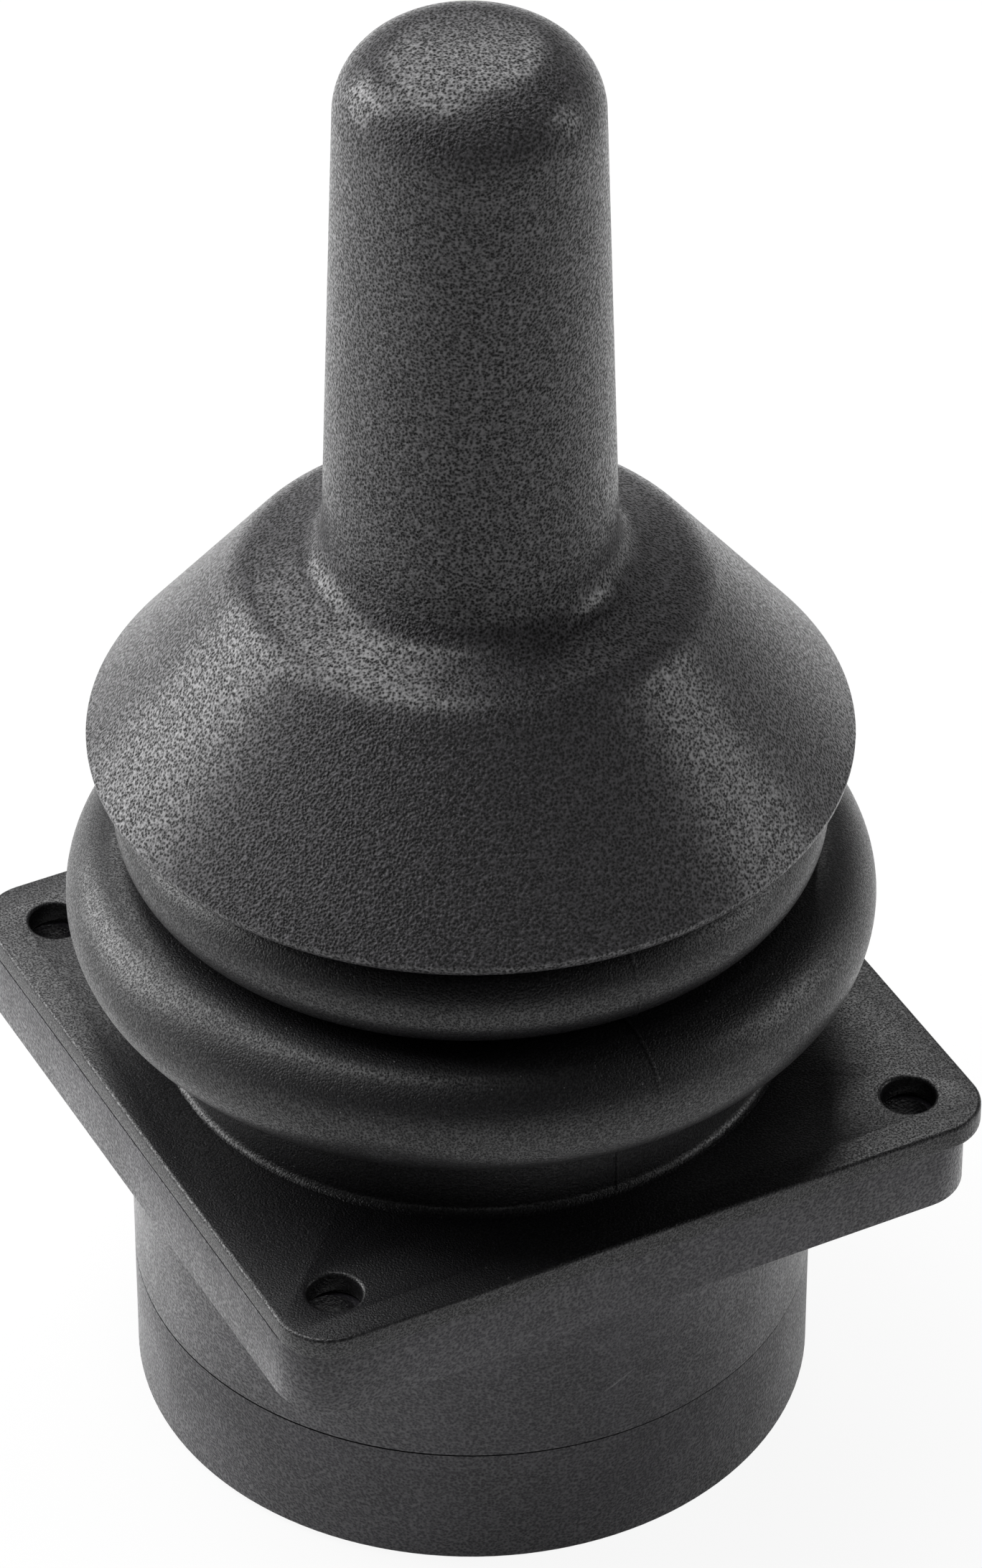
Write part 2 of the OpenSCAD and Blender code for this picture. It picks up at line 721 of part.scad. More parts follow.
// Small chip package with two rows of bent leads
module chip(l, w, h, leads) {
    lead_w = l / 12;
    lead_l = l / 3;
    stand = h / 12;
    translate([0, 0, stand + (h - stand) / 2]) cube([l, w, h - stand], center = true);
    for (i = [0:leads - 1], side = [-1, 1])
        translate([(i - (leads - 1) / 2) * l / leads, side * w / 2, h / 4]) {
            cube([lead_w, lead_l, h / 6], center = true);
            translate([0, side * (lead_l - lead_w) / 2, -h / 8])
                cube([lead_w, lead_w, h / 4], center = true);
        }
}

// Sensor under the magnet, on the lever axis
module hall_sensor() {
    color([0.08, 0.08, 0.09]) translate([0, 0, board_top]) chip(chip_l, chip_w, sensor_h, 4);
}

// The other parts on the board: a chip, a regulator, two capacitors and a row of small parts
module board_components() {
    color([0.12, 0.12, 0.13]) translate([0, 0, board_top]) {
        translate([0, chip_place, 0]) chip(chip_l, chip_w, sensor_h, 4);
        translate([-side_place, 0, 0]) rotate([0, 0, 90])
            chip(regulator_l, regulator_l * 0.6, sensor_h, 3);
        for (side = [-1, 1])
            translate([side * capacitor_d * 1.3, -chip_w - capacitor_d / 2, 0])
                cylinder(d = capacitor_d, h = capacitor_h);
        for (i = [-2:2])
            translate([side_place, i * small_part_pitch, small_part_l * 0.2])
                cube([small_part_l, small_part_l * 0.5, small_part_l * 0.4], center = true);
    }
}

// Places a copy at each contact, at the height of the base
module contact_places() {
    for (i = [0:pin_count - 1])
        translate([(i - (pin_count - 1) / 2) * pin_pitch, contact_y, 0]) children();
}

// Open socket that hangs from the board into the window of the cover
module connector_socket() {
    color([0.85, 0.84, 0.78]) difference() {
        translate([-socket_out_l / 2, -socket_offset - socket_out_w / 2, socket_mouth_z])
            cube([socket_out_l, socket_out_w, board_z - socket_mouth_z]);
        translate([-socket_l / 2, -socket_offset - socket_w / 2, socket_mouth_z - 1])
            cube([socket_l, socket_w, socket_depth + 1]);
        contact_places() translate([-contact_w / 2, -contact_w / 2, 0])
            cube([contact_w, contact_w, board_z + 1]);
    }
}

// Square pins from inside the socket, through the board
module connector_pins() {
    color([0.86, 0.70, 0.34]) contact_places()
        translate([-contact_w / 2, -contact_w / 2, socket_mouth_z + 1])
            cube([contact_w, contact_w, board_top + 0.8 - socket_mouth_z - 1]);
}

// ---------- gimbal ----------

// Ring with flat pads at its four bearings
module gimbal_ring() {
    color([0.60, 0.61, 0.62]) translate([0, 0, pivot_z]) difference() {
        union() {
            translate([0, 0, -ring_h / 2]) ring(ring_pad_r, ring_in_r, ring_h);
            both_x() along_x() translate([0, 0, ring_in_r]) cylinder(r = bush_flange_r, h = ring_wall);
            both_y() along_y() translate([0, 0, ring_in_r]) cylinder(r = bush_flange_r, h = ring_wall);
        }
        translate([0, 0, -ring_h]) cylinder(r = ring_in_r, h = 2 * ring_h);
        along_x() cylinder(r = pin_r, h = 3 * ring_r, center = true);
        along_y() cylinder(r = bush_r, h = 3 * ring_r, center = true);
        // flats inside, where the flanges of the bushes lie
        both_y() translate([0, ring_flat_y - 1, 0]) along_y()
            cylinder(r = bush_flange_r + slip_gap, h = 1);
    }
}

module gimbal_pins() {
    color([0.70, 0.71, 0.73]) both_x() translate([ring_in_r + end_play, 0, pivot_z])
        along_x() cylinder(r = pin_r, h = block_x + bush_l - ring_in_r - 2 * end_play);
}

module ring_bushes() {
    color([0.80, 0.72, 0.50]) both_y() translate([0, ring_flat_y - bush_flange_t, pivot_z])
        along_y() bush(ring_r - ring_flat_y);
}

// ---------- lever ----------

module lever_shaft() {
    color([0.72, 0.73, 0.75]) difference() {
        rotate_extrude() polygon([
            [0, shaft_end_z], [shaft_foot_r, shaft_end_z], [shaft_foot_r, hub_bottom_z],
            [shaft_r, hub_bottom_z], [shaft_r, shaft_collar_z], [shaft_collar_d / 2, shaft_collar_z],
            [shaft_collar_d / 2, shaft_collar_z + shaft_collar_h],
            [shaft_r, shaft_collar_z + shaft_collar_h], [shaft_r, shaft_step_z],
            [thread_r, shaft_step_z], [thread_r, shaft_top_z - 1], [thread_r - 1, shaft_top_z],
            [0, shaft_top_z]]);
        translate([0, 0, pivot_z]) along_y() cylinder(r = pin_r, h = shaft_d + 2, center = true);
    }
}

// Upright hub crossed by the boss of the lever pin
module lever_hub() {
    color([0.50, 0.51, 0.53]) translate([0, 0, pivot_z]) difference() {
        union() {
            cylinder(d = hub_d, h = hub_h, center = true);
            along_y() cylinder(r = bush_flange_r, h = 2 * hub_half_y, center = true);
        }
        cylinder(r = shaft_r, h = hub_h + 2, center = true);
        along_y() cylinder(r = pin_r, h = 2 * hub_half_y + 2, center = true);
    }
}

// Pin through the hub, with a groove for a clip at each end
module lever_pin() {
    color([0.70, 0.71, 0.73]) translate([0, 0, pivot_z]) difference() {
        along_y() cylinder(r = pin_r, h = 2 * lever_pin_end, center = true);
        both_y() translate([0, clip_y, 0]) along_y() ring(pin_r + 1, pin_r - clip_bite, clip_t);
    }
}

module pin_clips() {
    color([0.35, 0.36, 0.38]) translate([0, 0, pivot_z]) both_y() translate([0, clip_y, 0]) along_y()
        difference() {
            cylinder(r = bush_r, h = clip_t);
            translate([0, 0, -1]) cylinder(r = pin_r - clip_bite, h = clip_t + 2);
            translate([0, -bush_r, clip_t / 2]) cube([pin_r, 2 * bush_r, clip_t + 2], center = true);
        }
}

// Cup on the foot of the shaft, which holds the magnet
module magnet_holder() {
    color([0.18, 0.18, 0.19]) difference() {
        translate([0, 0, magnet_holder_z])
            cylinder(r = magnet_holder_r, h = hub_bottom_z - magnet_holder_z);
        translate([0, 0, magnet_holder_z - 1]) cylinder(d = magnet_d, h = magnet_h + 1);
        translate([0, 0, shaft_end_z]) cylinder(r = shaft_foot_r, h = hub_bottom_z);
    }
}

module magnet() {
    color([0.45, 0.46, 0.48]) translate([0, 0, magnet_holder_z]) cylinder(d = magnet_d, h = magnet_h);
}

// Disc over the spring, with a spigot that centres its top turn
module spring_cup() {
    foot = shaft_collar_z + shaft_collar_h;
    color([0.30, 0.31, 0.32]) rotate_extrude() polygon([
        [shaft_r, foot], [cup_spigot_r - 0.5, foot], [cup_spigot_r, foot + 0.5],
        [cup_spigot_r, cup_under], [cup_r, cup_under], [cup_r, cup_top], [shaft_r, cup_top]]);
}

// Sleeve with a groove that locks the neck of the boot
module boot_seat() {
    color([0.22, 0.22, 0.23]) translate([0, 0, cup_top]) difference() {
        ring(seat_r, shaft_r, seat_top - cup_top);
        translate([0, 0, boot_neck_top - bead_h - soft_gap - cup_top])
            ring(seat_r + 1, seat_r - seat_groove, bead_h + 2 * soft_gap);
    }
}

module lock_nut() {
    color([0.66, 0.67, 0.69]) translate([0, 0, seat_top]) difference() {
        intersection() {
            cylinder(d = nut_af / cos(30), h = nut_h, $fn = 6);
            rotate_extrude() polygon([
                [0, 0], [nut_af / 2 - 0.2, 0], [nut_af / 2 + 1, 0.6], [nut_af / 2 + 1, nut_h - 0.6],
                [nut_af / 2 - 0.2, nut_h], [0, nut_h]]);
        }
        translate([0, 0, -1]) cylinder(r = thread_r, h = nut_h + 2);
    }
}

// ---------- return spring ----------

// Height of the wire above its lowest point after u turns: close turns at both ends
function spring_rise(u) =
    let (close = wire_d * 1.08, travel = spring_h - wire_d, n = spring_turns)
    let (pitch = (travel - 2 * close) / (n - 2))
    u < 1 ? close * u : u < n - 1 ? close + pitch * (u - 1) : travel - close * (n - u);

function spring_point(u) =
    let (r = spring_base_r + (spring_top_r - spring_base_r) * spring_rise(u) / (spring_h - wire_d))
    [r * cos(360 * u), r * sin(360 * u), spring_rise(u)];

// Conical coil: a round wire swept along its turns
module return_spring() {
    steps = 22;
    sides = 8;
    count = steps * spring_turns;
    points = [for (i = [0:count], j = [0:sides - 1])
        let (u = i / steps, c = spring_point(u), a = 360 * (j + 0.5) / sides, w = wire_d / 2)
        [c.x + w * cos(a) * cos(360 * u), c.y + w * cos(a) * sin(360 * u), c.z + w + w * sin(a)]];
    tube = [for (i = [0:count - 1], j = [0:sides - 1])
        let (a = i * sides, b = a + sides, k = (j + 1) % sides)
        [a + j, b + j, b + k, a + k]];
    start = [for (j = [0:sides - 1]) j];
    end = [for (j = [sides - 1:-1:0]) count * sides + j];
    color([0.68, 0.69, 0.71]) translate([0, 0, gate_top - spring_recess + spring_gap])
        polyhedron(points, concat(tube, [start, end]), convexity = 6);
}

// ---------- grip ----------

// Outline of the grip from the middle of its top to the inside of its rim
function grip_outline() =
    let (top = [grip_top_d / 2, grip_top_z - grip_crown], foot = [stem_foot_d / 2, stem_foot_z])
    let (shoulder = [shoulder_d / 2, shoulder_z], edge = [rim_d / 2, rim_z + rim_edge])
    let (rim = [rim_d / 2, rim_z], inside = [skirt_in(rim_z), rim_z])
    let (crown = [top.x * 0.5, grip_top_z - grip_crown * 0.25])
    concat(
        [[0, grip_top_z], [top.x * 0.25, grip_top_z - grip_crown * 0.06], crown],
        round_corner(crown, top, foot, grip_top_round, 16),
        round_corner(top, foot, shoulder, stem_fillet),
        round_corner(foot, shoulder, edge, shoulder_round),
        [edge],
        round_corner(edge, rim, inside, rim_round),
        [inside]);

// Radius of the inside of the skirt at height z
function skirt_in(z) =
    let (rim = [rim_d / 2, rim_z + rim_edge], shoulder = [shoulder_d / 2, shoulder_z])
    let (run = shoulder - rim, wall_across = grip_wall * norm(run) / run.y)
    rim.x - wall_across + (z - rim.y) * run.x / run.y;

// Radius of the inside of the stem wall at height z
function stem_in(z) =
    let (t = (z - stem_foot_z) / (grip_top_z - stem_foot_z))
    stem_foot_d / 2 + (grip_top_d - stem_foot_d) / 2 * t - grip_wall;

// Hollow of the skirt, round the boss
module skirt_hollow() {
    ceiling = shoulder_z - grip_wall;
    rotate_extrude() polygon([
        [0, rim_z - 1], [skirt_in(rim_z - 1), rim_z - 1], [skirt_in(ceiling), ceiling],
        [grip_boss_r, ceiling], [grip_boss_r, nut_top], [0, nut_top]]);
}

// Coring slots between the boss and the wall of the stem, parted by ribs
module stem_slots() {
    foot = shoulder_z - grip_wall - 1;
    head = shaft_top_z + 4;
    difference() {
        rotate_extrude() polygon([
            [grip_boss_r, foot], [stem_in(foot), foot], [stem_in(head), head], [grip_boss_r, head]]);
        for (turn = [0, 90])
            rotate([0, 0, turn]) translate([0, 0, (foot + head) / 2])
                cube([stem_foot_d, rib_t, head - foot + 2], center = true);
    }
}

module grip() {
    color([0.12, 0.12, 0.12]) difference() {
        rotate_extrude() polygon(concat(grip_outline(), [[0, rim_z]]));
        skirt_hollow();
        stem_slots();
        translate([0, 0, nut_top - 1]) cylinder(r = insert_r, h = insert_l + 1);
        translate([0, 0, nut_top]) cylinder(r = thread_r + slip_gap, h = shaft_top_z - nut_top + 2);
    }
}

// Threaded insert in the boss of the grip, with two grooves that the plastic fills
module grip_insert() {
    color([0.78, 0.62, 0.30]) translate([0, 0, nut_top]) difference() {
        ring(insert_r, thread_r, insert_l);
        for (z = [insert_l * 0.3, insert_l * 0.65])
            translate([0, 0, z]) ring(insert_r + 1, insert_r - 0.4, 1);
    }
}

upper_housing();
lower_cover();
cover_gasket();
cover_screws();
boot();
pivot_caps();
cap_screws();
housing_bushes();
gate_plate();
gate_screws();
circuit_board();
board_screws();
hall_sensor();
board_components();
connector_socket();
connector_pins();
gimbal_ring();
gimbal_pins();
ring_bushes();
lever_shaft();
lever_hub();
lever_pin();
pin_clips();
magnet_holder();
magnet();
return_spring();
spring_cup();
boot_seat();
lock_nut();
grip_insert();
grip();
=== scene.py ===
"""Spring-centred panel joystick: tapered grip, rubber bellows, square flange and round body."""
import json
import math
from contextlib import contextmanager

import bmesh
import bpy
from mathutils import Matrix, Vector


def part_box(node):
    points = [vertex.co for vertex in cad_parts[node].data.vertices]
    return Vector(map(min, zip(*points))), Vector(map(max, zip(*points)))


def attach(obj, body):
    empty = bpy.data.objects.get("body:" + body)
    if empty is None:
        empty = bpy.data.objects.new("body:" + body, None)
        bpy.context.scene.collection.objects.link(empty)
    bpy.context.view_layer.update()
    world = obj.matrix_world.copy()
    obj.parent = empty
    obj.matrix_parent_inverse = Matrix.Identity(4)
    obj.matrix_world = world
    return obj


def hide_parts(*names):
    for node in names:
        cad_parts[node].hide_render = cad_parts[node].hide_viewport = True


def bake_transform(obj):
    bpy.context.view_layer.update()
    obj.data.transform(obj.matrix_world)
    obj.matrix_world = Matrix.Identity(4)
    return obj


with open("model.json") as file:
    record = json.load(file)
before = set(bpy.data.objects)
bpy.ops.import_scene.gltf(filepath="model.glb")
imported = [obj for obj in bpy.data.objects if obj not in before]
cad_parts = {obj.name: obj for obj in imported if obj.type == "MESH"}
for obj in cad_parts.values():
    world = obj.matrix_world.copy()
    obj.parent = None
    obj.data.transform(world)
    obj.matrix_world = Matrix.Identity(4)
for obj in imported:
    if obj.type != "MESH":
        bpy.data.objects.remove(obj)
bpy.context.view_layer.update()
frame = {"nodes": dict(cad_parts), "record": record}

bl_info = {
    "name": "Panel joystick",
    "version": (1, 0, 0),
    "blender": (4, 5, 0),
    "location": "3D View > Sidebar > Joystick",
    "description": "Builds the finished surfaces of a spring-centred panel joystick",
    "category": "Object",
}

NODES = frame["nodes"]
MM = 0.001
SAME_PLACE = 1e-6  # points nearer than this, in metres, are one point
CAD_GRAIN = 2e-6  # the same for the points of a CAD mesh


# ---------- sizes and colours ----------


def length(name, about, millimetres):
    """A length that the user can change, given in millimetres."""
    return bpy.props.FloatProperty(
        name=name, description=about, default=millimetres * MM,
        min=0, precision=5, unit="LENGTH", subtype="DISTANCE",
    )


def colour(name, about, red, green, blue):
    """A colour that the user can change."""
    return bpy.props.FloatVectorProperty(
        name=name, description=about, default=(red, green, blue),
        size=3, min=0, max=1, subtype="COLOR",
    )


def share(name, about, value, high=1.0):
    """A plain number that the user can change."""
    return bpy.props.FloatProperty(
        name=name, description=about, default=value, min=0, max=high, subtype="FACTOR"
    )


def count(name, about, value):
    """A whole number that the user can change."""
    return bpy.props.IntProperty(name=name, description=about, default=value, min=1)


class GripSizes(bpy.types.PropertyGroup):
    """Sizes of the grip."""

    top_d: length("Top diameter", "Diameter of the stem under its rounded top", 19.7)
    top_round: length("Top rounding", "Radius of the rounding round the top", 5.8)
    crown: length("Crown", "Rise of the top between its roundings", 0.9)
    foot_d: length("Foot diameter", "Diameter of the stem at its foot", 22.6)
    foot_fillet: length("Foot fillet", "Radius of the fillet at the foot of the stem", 3)
    foot_z: length("Foot height", "Height of the foot of the stem over the base", 79.8)
    shoulder_d: length("Shoulder diameter", "Diameter of the shoulder", 35.6)
    shoulder_round: length("Shoulder rounding", "Radius of the rounding of the shoulder", 5)
    shoulder_z: length("Shoulder height", "Height of the shoulder over the base", 77.7)
    rim_edge: length("Rim edge", "Height of the upright edge of the rim", 1.2)
    rim_round: length("Rim rounding", "Radius under the edge of the rim", 1.1)
    wall: length("Wall", "Wall of the skirt and of the stem", 2.4)
    boss_r: length("Boss radius", "Outer radius of the boss round the insert", 6.4)
    insert_r: length("Insert radius", "Outer radius of the threaded insert", 5.2)
    insert_l: length("Insert length", "Length of the threaded insert", 14)
    bore_r: length("Bore radius", "Radius of the hole over the insert", 4.15)
    bore_top: length("Bore top", "Height of the end of the hole over the base", 104.5)
    rib: length("Rib", "Thickness of the ribs in the stem", 1.6)
    facets: count("Facets", "Facets round the grip", 224)


class BootSizes(bpy.types.PropertyGroup):
    """Sizes of the rubber boot."""

    wall: length("Wall", "Thickness of the rubber", 1.5)
    sheet_w: length("Sheet width", "Width of the square rubber sheet", 60.6)
    sheet_t: length("Sheet thickness", "Thickness of the square rubber sheet", 2)
    sheet_corner: length("Sheet corner", "Radius of the corners of the sheet", 4.2)
    sheet_edge: length("Sheet edge", "Rounding of the edges of the sheet", 0.3)
    sheet_slip: length("Sheet slip", "How far the sheet sits off centre along X", 0.45)
    corner_lift: length("Corner lift", "How far a slack corner of the sheet stands up", 0.22)
    collar_d: length("Collar diameter", "Outer diameter of the collar", 48.8)
    foot_fillet: length("Foot fillet", "Fillet where the collar meets the sheet", 0.7)
    lower_r: length("Lower roll section", "Radius of the section of the lower roll", 4.95)
    lower_z: length("Lower roll height", "Height of the middle of the lower roll", 47.2)
    upper_d: length("Upper roll diameter", "Outer diameter of the upper roll", 55.4)
    upper_r: length("Upper roll section", "Radius of the section of the upper roll", 3.5)
    crease: length("Crease gap", "Gap between the two rolls", 0.35)
    crease_depth: length("Crease depth", "How far the crease reaches behind the upper roll", 2.2)
    collar_fillet: length("Collar fillet", "Fillet under the lower roll", 0.5)
    neck_r: length("Neck radius", "Outer radius of the neck of the boot", 10.8)
    neck_fillet: length("Neck fillet", "Fillet at the foot of the neck", 1)
    bead_h: length("Bead height", "Height of the beads that lock the boot", 1.6)
    collar_bead: length("Collar bead", "Reach of the bead in the collar", 0.9)
    neck_bead: length("Neck bead", "Reach of the bead in the neck", 0.9)
    flash_w: length("Flash width", "Width of the line left by the mould", 0.34)
    flash_h: length("Flash height", "Height of the line left by the mould", 0.1)
    facets: count("Facets", "Facets round the boot", 240)


class HousingSizes(bpy.types.PropertyGroup):
    """Sizes of the housing and its cover."""

    edge: length("Edge rounding", "Rounding of the moulded edges", 0.32)
    cover_edge: length("Cover edge rounding", "Rounding of the edges of the cover", 0.15)
    hole_d: length("Hole diameter", "Diameter of the four bolt holes", 4.3)
    seam_z: length("Seam height", "Height of the seam over the base", 11.5)
    seam_w: length("Seam width", "Width of the gap in the seam where it is widest", 0.14)
    seam_zone: length("Seam zone", "Edges this near to the seam belong to it", 0.9)
    seam_share: share("Seam rounding", "Share of the edge rounding that the seam gets", 0.15)


class SpringSizes(bpy.types.PropertyGroup):
    """Sizes of the return spring."""

    wire_d: length("Wire", "Diameter of the wire", 1.4)
    base_r: length("Base radius", "Radius of the lowest turn", 16.2)
    top_r: length("Top radius", "Radius of the highest turn", 9)
    turns: count("Turns", "Number of turns", 5)
    split: share("Split", "Height at which its two lengths meet, as a share of the spring", 0.48)


class FastenerSizes(bpy.types.PropertyGroup):
    """Sizes of the screws and contact pins."""

    cover_d: length("Cover screw", "Thread diameter of the cover screws", 3)
    small_d: length("Small screw", "Thread diameter of the small screws", 2)
    head_ratio: share("Head width", "Head diameter for each unit of thread", 1.85, 3)
    head_height: share("Head height", "Head height for each unit of thread", 0.7, 2)
    pitch_share: share("Thread pitch", "Pitch for each unit of thread", 0.3)
    pin_w: length("Pin width", "Width of a square contact pin", 0.64)


class JoystickColours(bpy.types.PropertyGroup):
    """Colours of the surfaces."""

    grip: colour("Grip", "Grained plastic of the grip", 0.0265, 0.0255, 0.0275)
    boot: colour("Boot", "Rubber of the boot", 0.0100, 0.0096, 0.0108)
    housing: colour("Housing", "Plastic of the housing and cover", 0.0205, 0.0190, 0.0235)
    dust: colour("Dust", "Dust and chalky scuffs", 0.20, 0.20, 0.205)
    inner: colour("Inner plastic", "Plastic of the inner parts", 0.05, 0.05, 0.055)
    socket: colour("Socket", "Plastic of the socket", 0.66, 0.64, 0.56)
    bush: colour("Bushes", "Polymer of the bushes", 0.48, 0.36, 0.16)
    board: colour("Board", "Solder mask of the circuit board", 0.008, 0.07, 0.028)
    floor: colour("Floor", "The studio floor", 0.82, 0.82, 0.82)


GROUPS = {
    "grip": GripSizes, "boot": BootSizes, "housing": HousingSizes, "spring": SpringSizes,
    "fasteners": FastenerSizes, "colours": JoystickColours,
}


class JoystickSettings(bpy.types.PropertyGroup):
    """All sizes and colours of the joystick."""

    grip: bpy.props.PointerProperty(type=GripSizes)
    boot: bpy.props.PointerProperty(type=BootSizes)
    housing: bpy.props.PointerProperty(type=HousingSizes)
    spring: bpy.props.PointerProperty(type=SpringSizes)
    fasteners: bpy.props.PointerProperty(type=FastenerSizes)
    colours: bpy.props.PointerProperty(type=JoystickColours)


# ---------- node trees ----------


class Value:
    """An output of a node. A sum with it, such as width * 0.5, adds a Math node to its tree."""

    def __init__(self, socket):
        self.socket, self.tree = socket, socket.id_data

    def __add__(self, other):
        return maths("ADD", self, other)

    def __sub__(self, other):
        return maths("SUBTRACT", self, other)

    def __mul__(self, other):
        return maths("MULTIPLY", self, other)

    def __truediv__(self, other):
        return maths("DIVIDE", self, other)

    def __rtruediv__(self, other):
        return maths("DIVIDE", other, self)


class Outputs:
    """The outputs of a node, by name or number."""

    def __init__(self, made):
        self.made = made

    def __getitem__(self, key):
        return Value(self.made.outputs[key])


def join(value, socket):
    """Joins an output to a socket, or sets the socket to a plain value."""
    if isinstance(value, Value):
        value.tree.links.new(value.socket, socket)
    else:
        socket.default_value = value


def node(tree, kind, inputs=None, **settings):
    """Adds a node and returns its outputs. Its inputs are plain values, or outputs to join."""
    made = tree.nodes.new(kind)
    for name, value in settings.items():
        setattr(made, name, value)
    for key, value in (inputs or {}).items():
        join(value, made.inputs[key])
    return Outputs(made)


def maths(operation, *values, clamp=False):
    """The result of a Math node. At least one of its values is an output."""
    tree = next(value.tree for value in values if isinstance(value, Value))
    inputs = dict(enumerate(values))
    return node(tree, "ShaderNodeMath", inputs, operation=operation, use_clamp=clamp)[0]


def vector_maths(operation, first, second, output=0):
    """The result of a Vector Math node on an output and a second vector."""
    inputs = {0: first, 1: second}
    return node(first.tree, "ShaderNodeVectorMath", inputs, operation=operation)[output]


def vector(tree, x=0.0, y=0.0, z=0.0):
    """A vector of three numbers."""
    return node(tree, "ShaderNodeCombineXYZ", {"X": x, "Y": y, "Z": z})[0]


def parts(whole):
    """The three numbers of a vector."""
    made = node(whole.tree, "ShaderNodeSeparateXYZ", {0: whole})
    return made[0], made[1], made[2]


def label_of(name):
    """The label of a socket: thread_diameter becomes Thread diameter."""
    return name.replace("_", " ").capitalize()


def node_group(label, kind="ShaderNodeTree", **inputs):
    """For a function that joins the nodes of a group and returns its results by name. It becomes
    a function that builds the group once and returns it. Each input of the group is given as its
    default, or as the word Geometry or Material."""
    sorts = {float: "Float", int: "Int", tuple: "Vector"}
    result_sort = "NodeSocketFloat" if kind == "ShaderNodeTree" else "NodeSocketGeometry"

    def wrap(fill):
        def get():
            if label in bpy.data.node_groups:
                return bpy.data.node_groups[label]
            tree = bpy.data.node_groups.new(label, kind)
            for name, default in inputs.items():
                sort = default if isinstance(default, str) else sorts[type(default)]
                made = tree.interface.new_socket(
                    name=label_of(name), in_out="INPUT", socket_type="NodeSocket" + sort
                )
                if sort != default:
                    made.default_value = default
            given = tree.nodes.new("NodeGroupInput").outputs
            results = fill(tree, *[Value(given[i]) for i in range(len(inputs))])
            for name in results:
                tree.interface.new_socket(name=name, in_out="OUTPUT", socket_type=result_sort)
            ends = tree.nodes.new("NodeGroupOutput").inputs
            for name, value in results.items():
                join(value, ends[name])
            return tree

        return get

    return wrap


def moved(geometry, x, y, z):
    """Geometry with each of its points put at a new place."""
    inputs = {"Geometry": geometry, "Position": vector(geometry.tree, x, y, z)}
    return node(geometry.tree, "GeometryNodeSetPosition", inputs)[0]


def merged(geometry):
    """Geometry whose points at one place are one point."""
    inputs = {"Geometry": geometry, "Distance": SAME_PLACE}
    return node(geometry.tree, "GeometryNodeMergeByDistance", inputs)[0]


def real(geometry, material):
    """The end of a geometry tree: real geometry with its material."""
    tree = geometry.tree
    made = node(tree, "GeometryNodeRealizeInstances", {"Geometry": geometry})[0]
    inputs = {"Geometry": made, "Material": material}
    return {"Mesh": node(tree, "GeometryNodeSetMaterial", inputs)[0]}


def stood_at(places, instance, material, turn=(0.0, 0.0, 0.0)):
    """The end of a geometry tree that puts a copy of one shape at each point."""
    inputs = {"Points": places, "Instance": instance, "Rotation": turn}
    return real(node(places.tree, "GeometryNodeInstanceOnPoints", inputs)[0], material)


def grown(piece, tree, **values):
    """Runs a geometry tree on a piece with the given values, and keeps the result as its mesh."""
    modifier = piece.modifiers.new(tree.name, "NODES")
    modifier.node_group = tree
    named = {label_of(name): value for name, value in values.items()}
    for item in tree.interface.items_tree:
        if item.item_type == "SOCKET" and item.in_out == "INPUT" and item.name in named:
            modifier[item.identifier] = named[item.name]
    return finished(piece)


# ---------- meshes ----------


@contextmanager
def edited(mesh):
    """A mesh opened for editing, and written back at the end."""
    shape = bmesh.new()
    shape.from_mesh(mesh)
    yield shape
    shape.to_mesh(mesh)
    shape.free()


def finished(piece):
    """Keeps what the modifiers of a piece make as its plain mesh, and removes them."""
    bpy.context.view_layer.update()
    evaluated = piece.evaluated_get(bpy.context.evaluated_depsgraph_get())
    mesh = bpy.data.meshes.new_from_object(evaluated)
    piece.modifiers.clear()
    piece.data = mesh
    mesh.name = piece.name
    if not mesh.polygons:
        raise RuntimeError(f"{piece.name} came out with no faces")
    return piece


def smooth(piece, angle=35):
    """Smooth shading, with edges sharper than the angle kept crisp."""
    mesh = piece.data
    mesh.polygons.foreach_set("use_smooth", [True] * len(mesh.polygons))
    mesh.set_sharp_from_angle(angle=math.radians(angle))
    return piece


def linked(name, data):
    """A new object in the scene."""
    made = bpy.data.objects.new(name, data)
    bpy.context.scene.collection.objects.link(made)
    return made


def piece_from(name, points, edges=(), faces=()):
    """A piece at the origin with the given mesh."""
    mesh = bpy.data.meshes.new(name)
    mesh.from_pydata([tuple(p) for p in points], list(edges), list(faces))
    mesh.update()
    return linked(name, mesh)


def joined(first, *others):
    """Joins the meshes of other pieces into the first."""
    with edited(first.data) as whole:
        for piece in others:
            whole.from_mesh(piece.data)
    for piece in others:
        bpy.data.objects.remove(piece)
    first.data.update()
    return first


def cut(piece, *tools):
    """Takes the tools out of a piece."""
    for tool in tools:
        modifier = piece.modifiers.new("Cut", "BOOLEAN")
        modifier.operation = "DIFFERENCE"
        modifier.solver = "EXACT"
        modifier.object = tool
    finished(piece)
    for tool in tools:
        bpy.data.objects.remove(tool)
    return piece


def give(piece, material):
    """The piece has one material."""
    piece.data.materials.clear()
    piece.data.materials.append(material)
    for face in piece.data.polygons:
        face.material_index = 0
    return piece


# ---------- shapes that follow a rule ----------


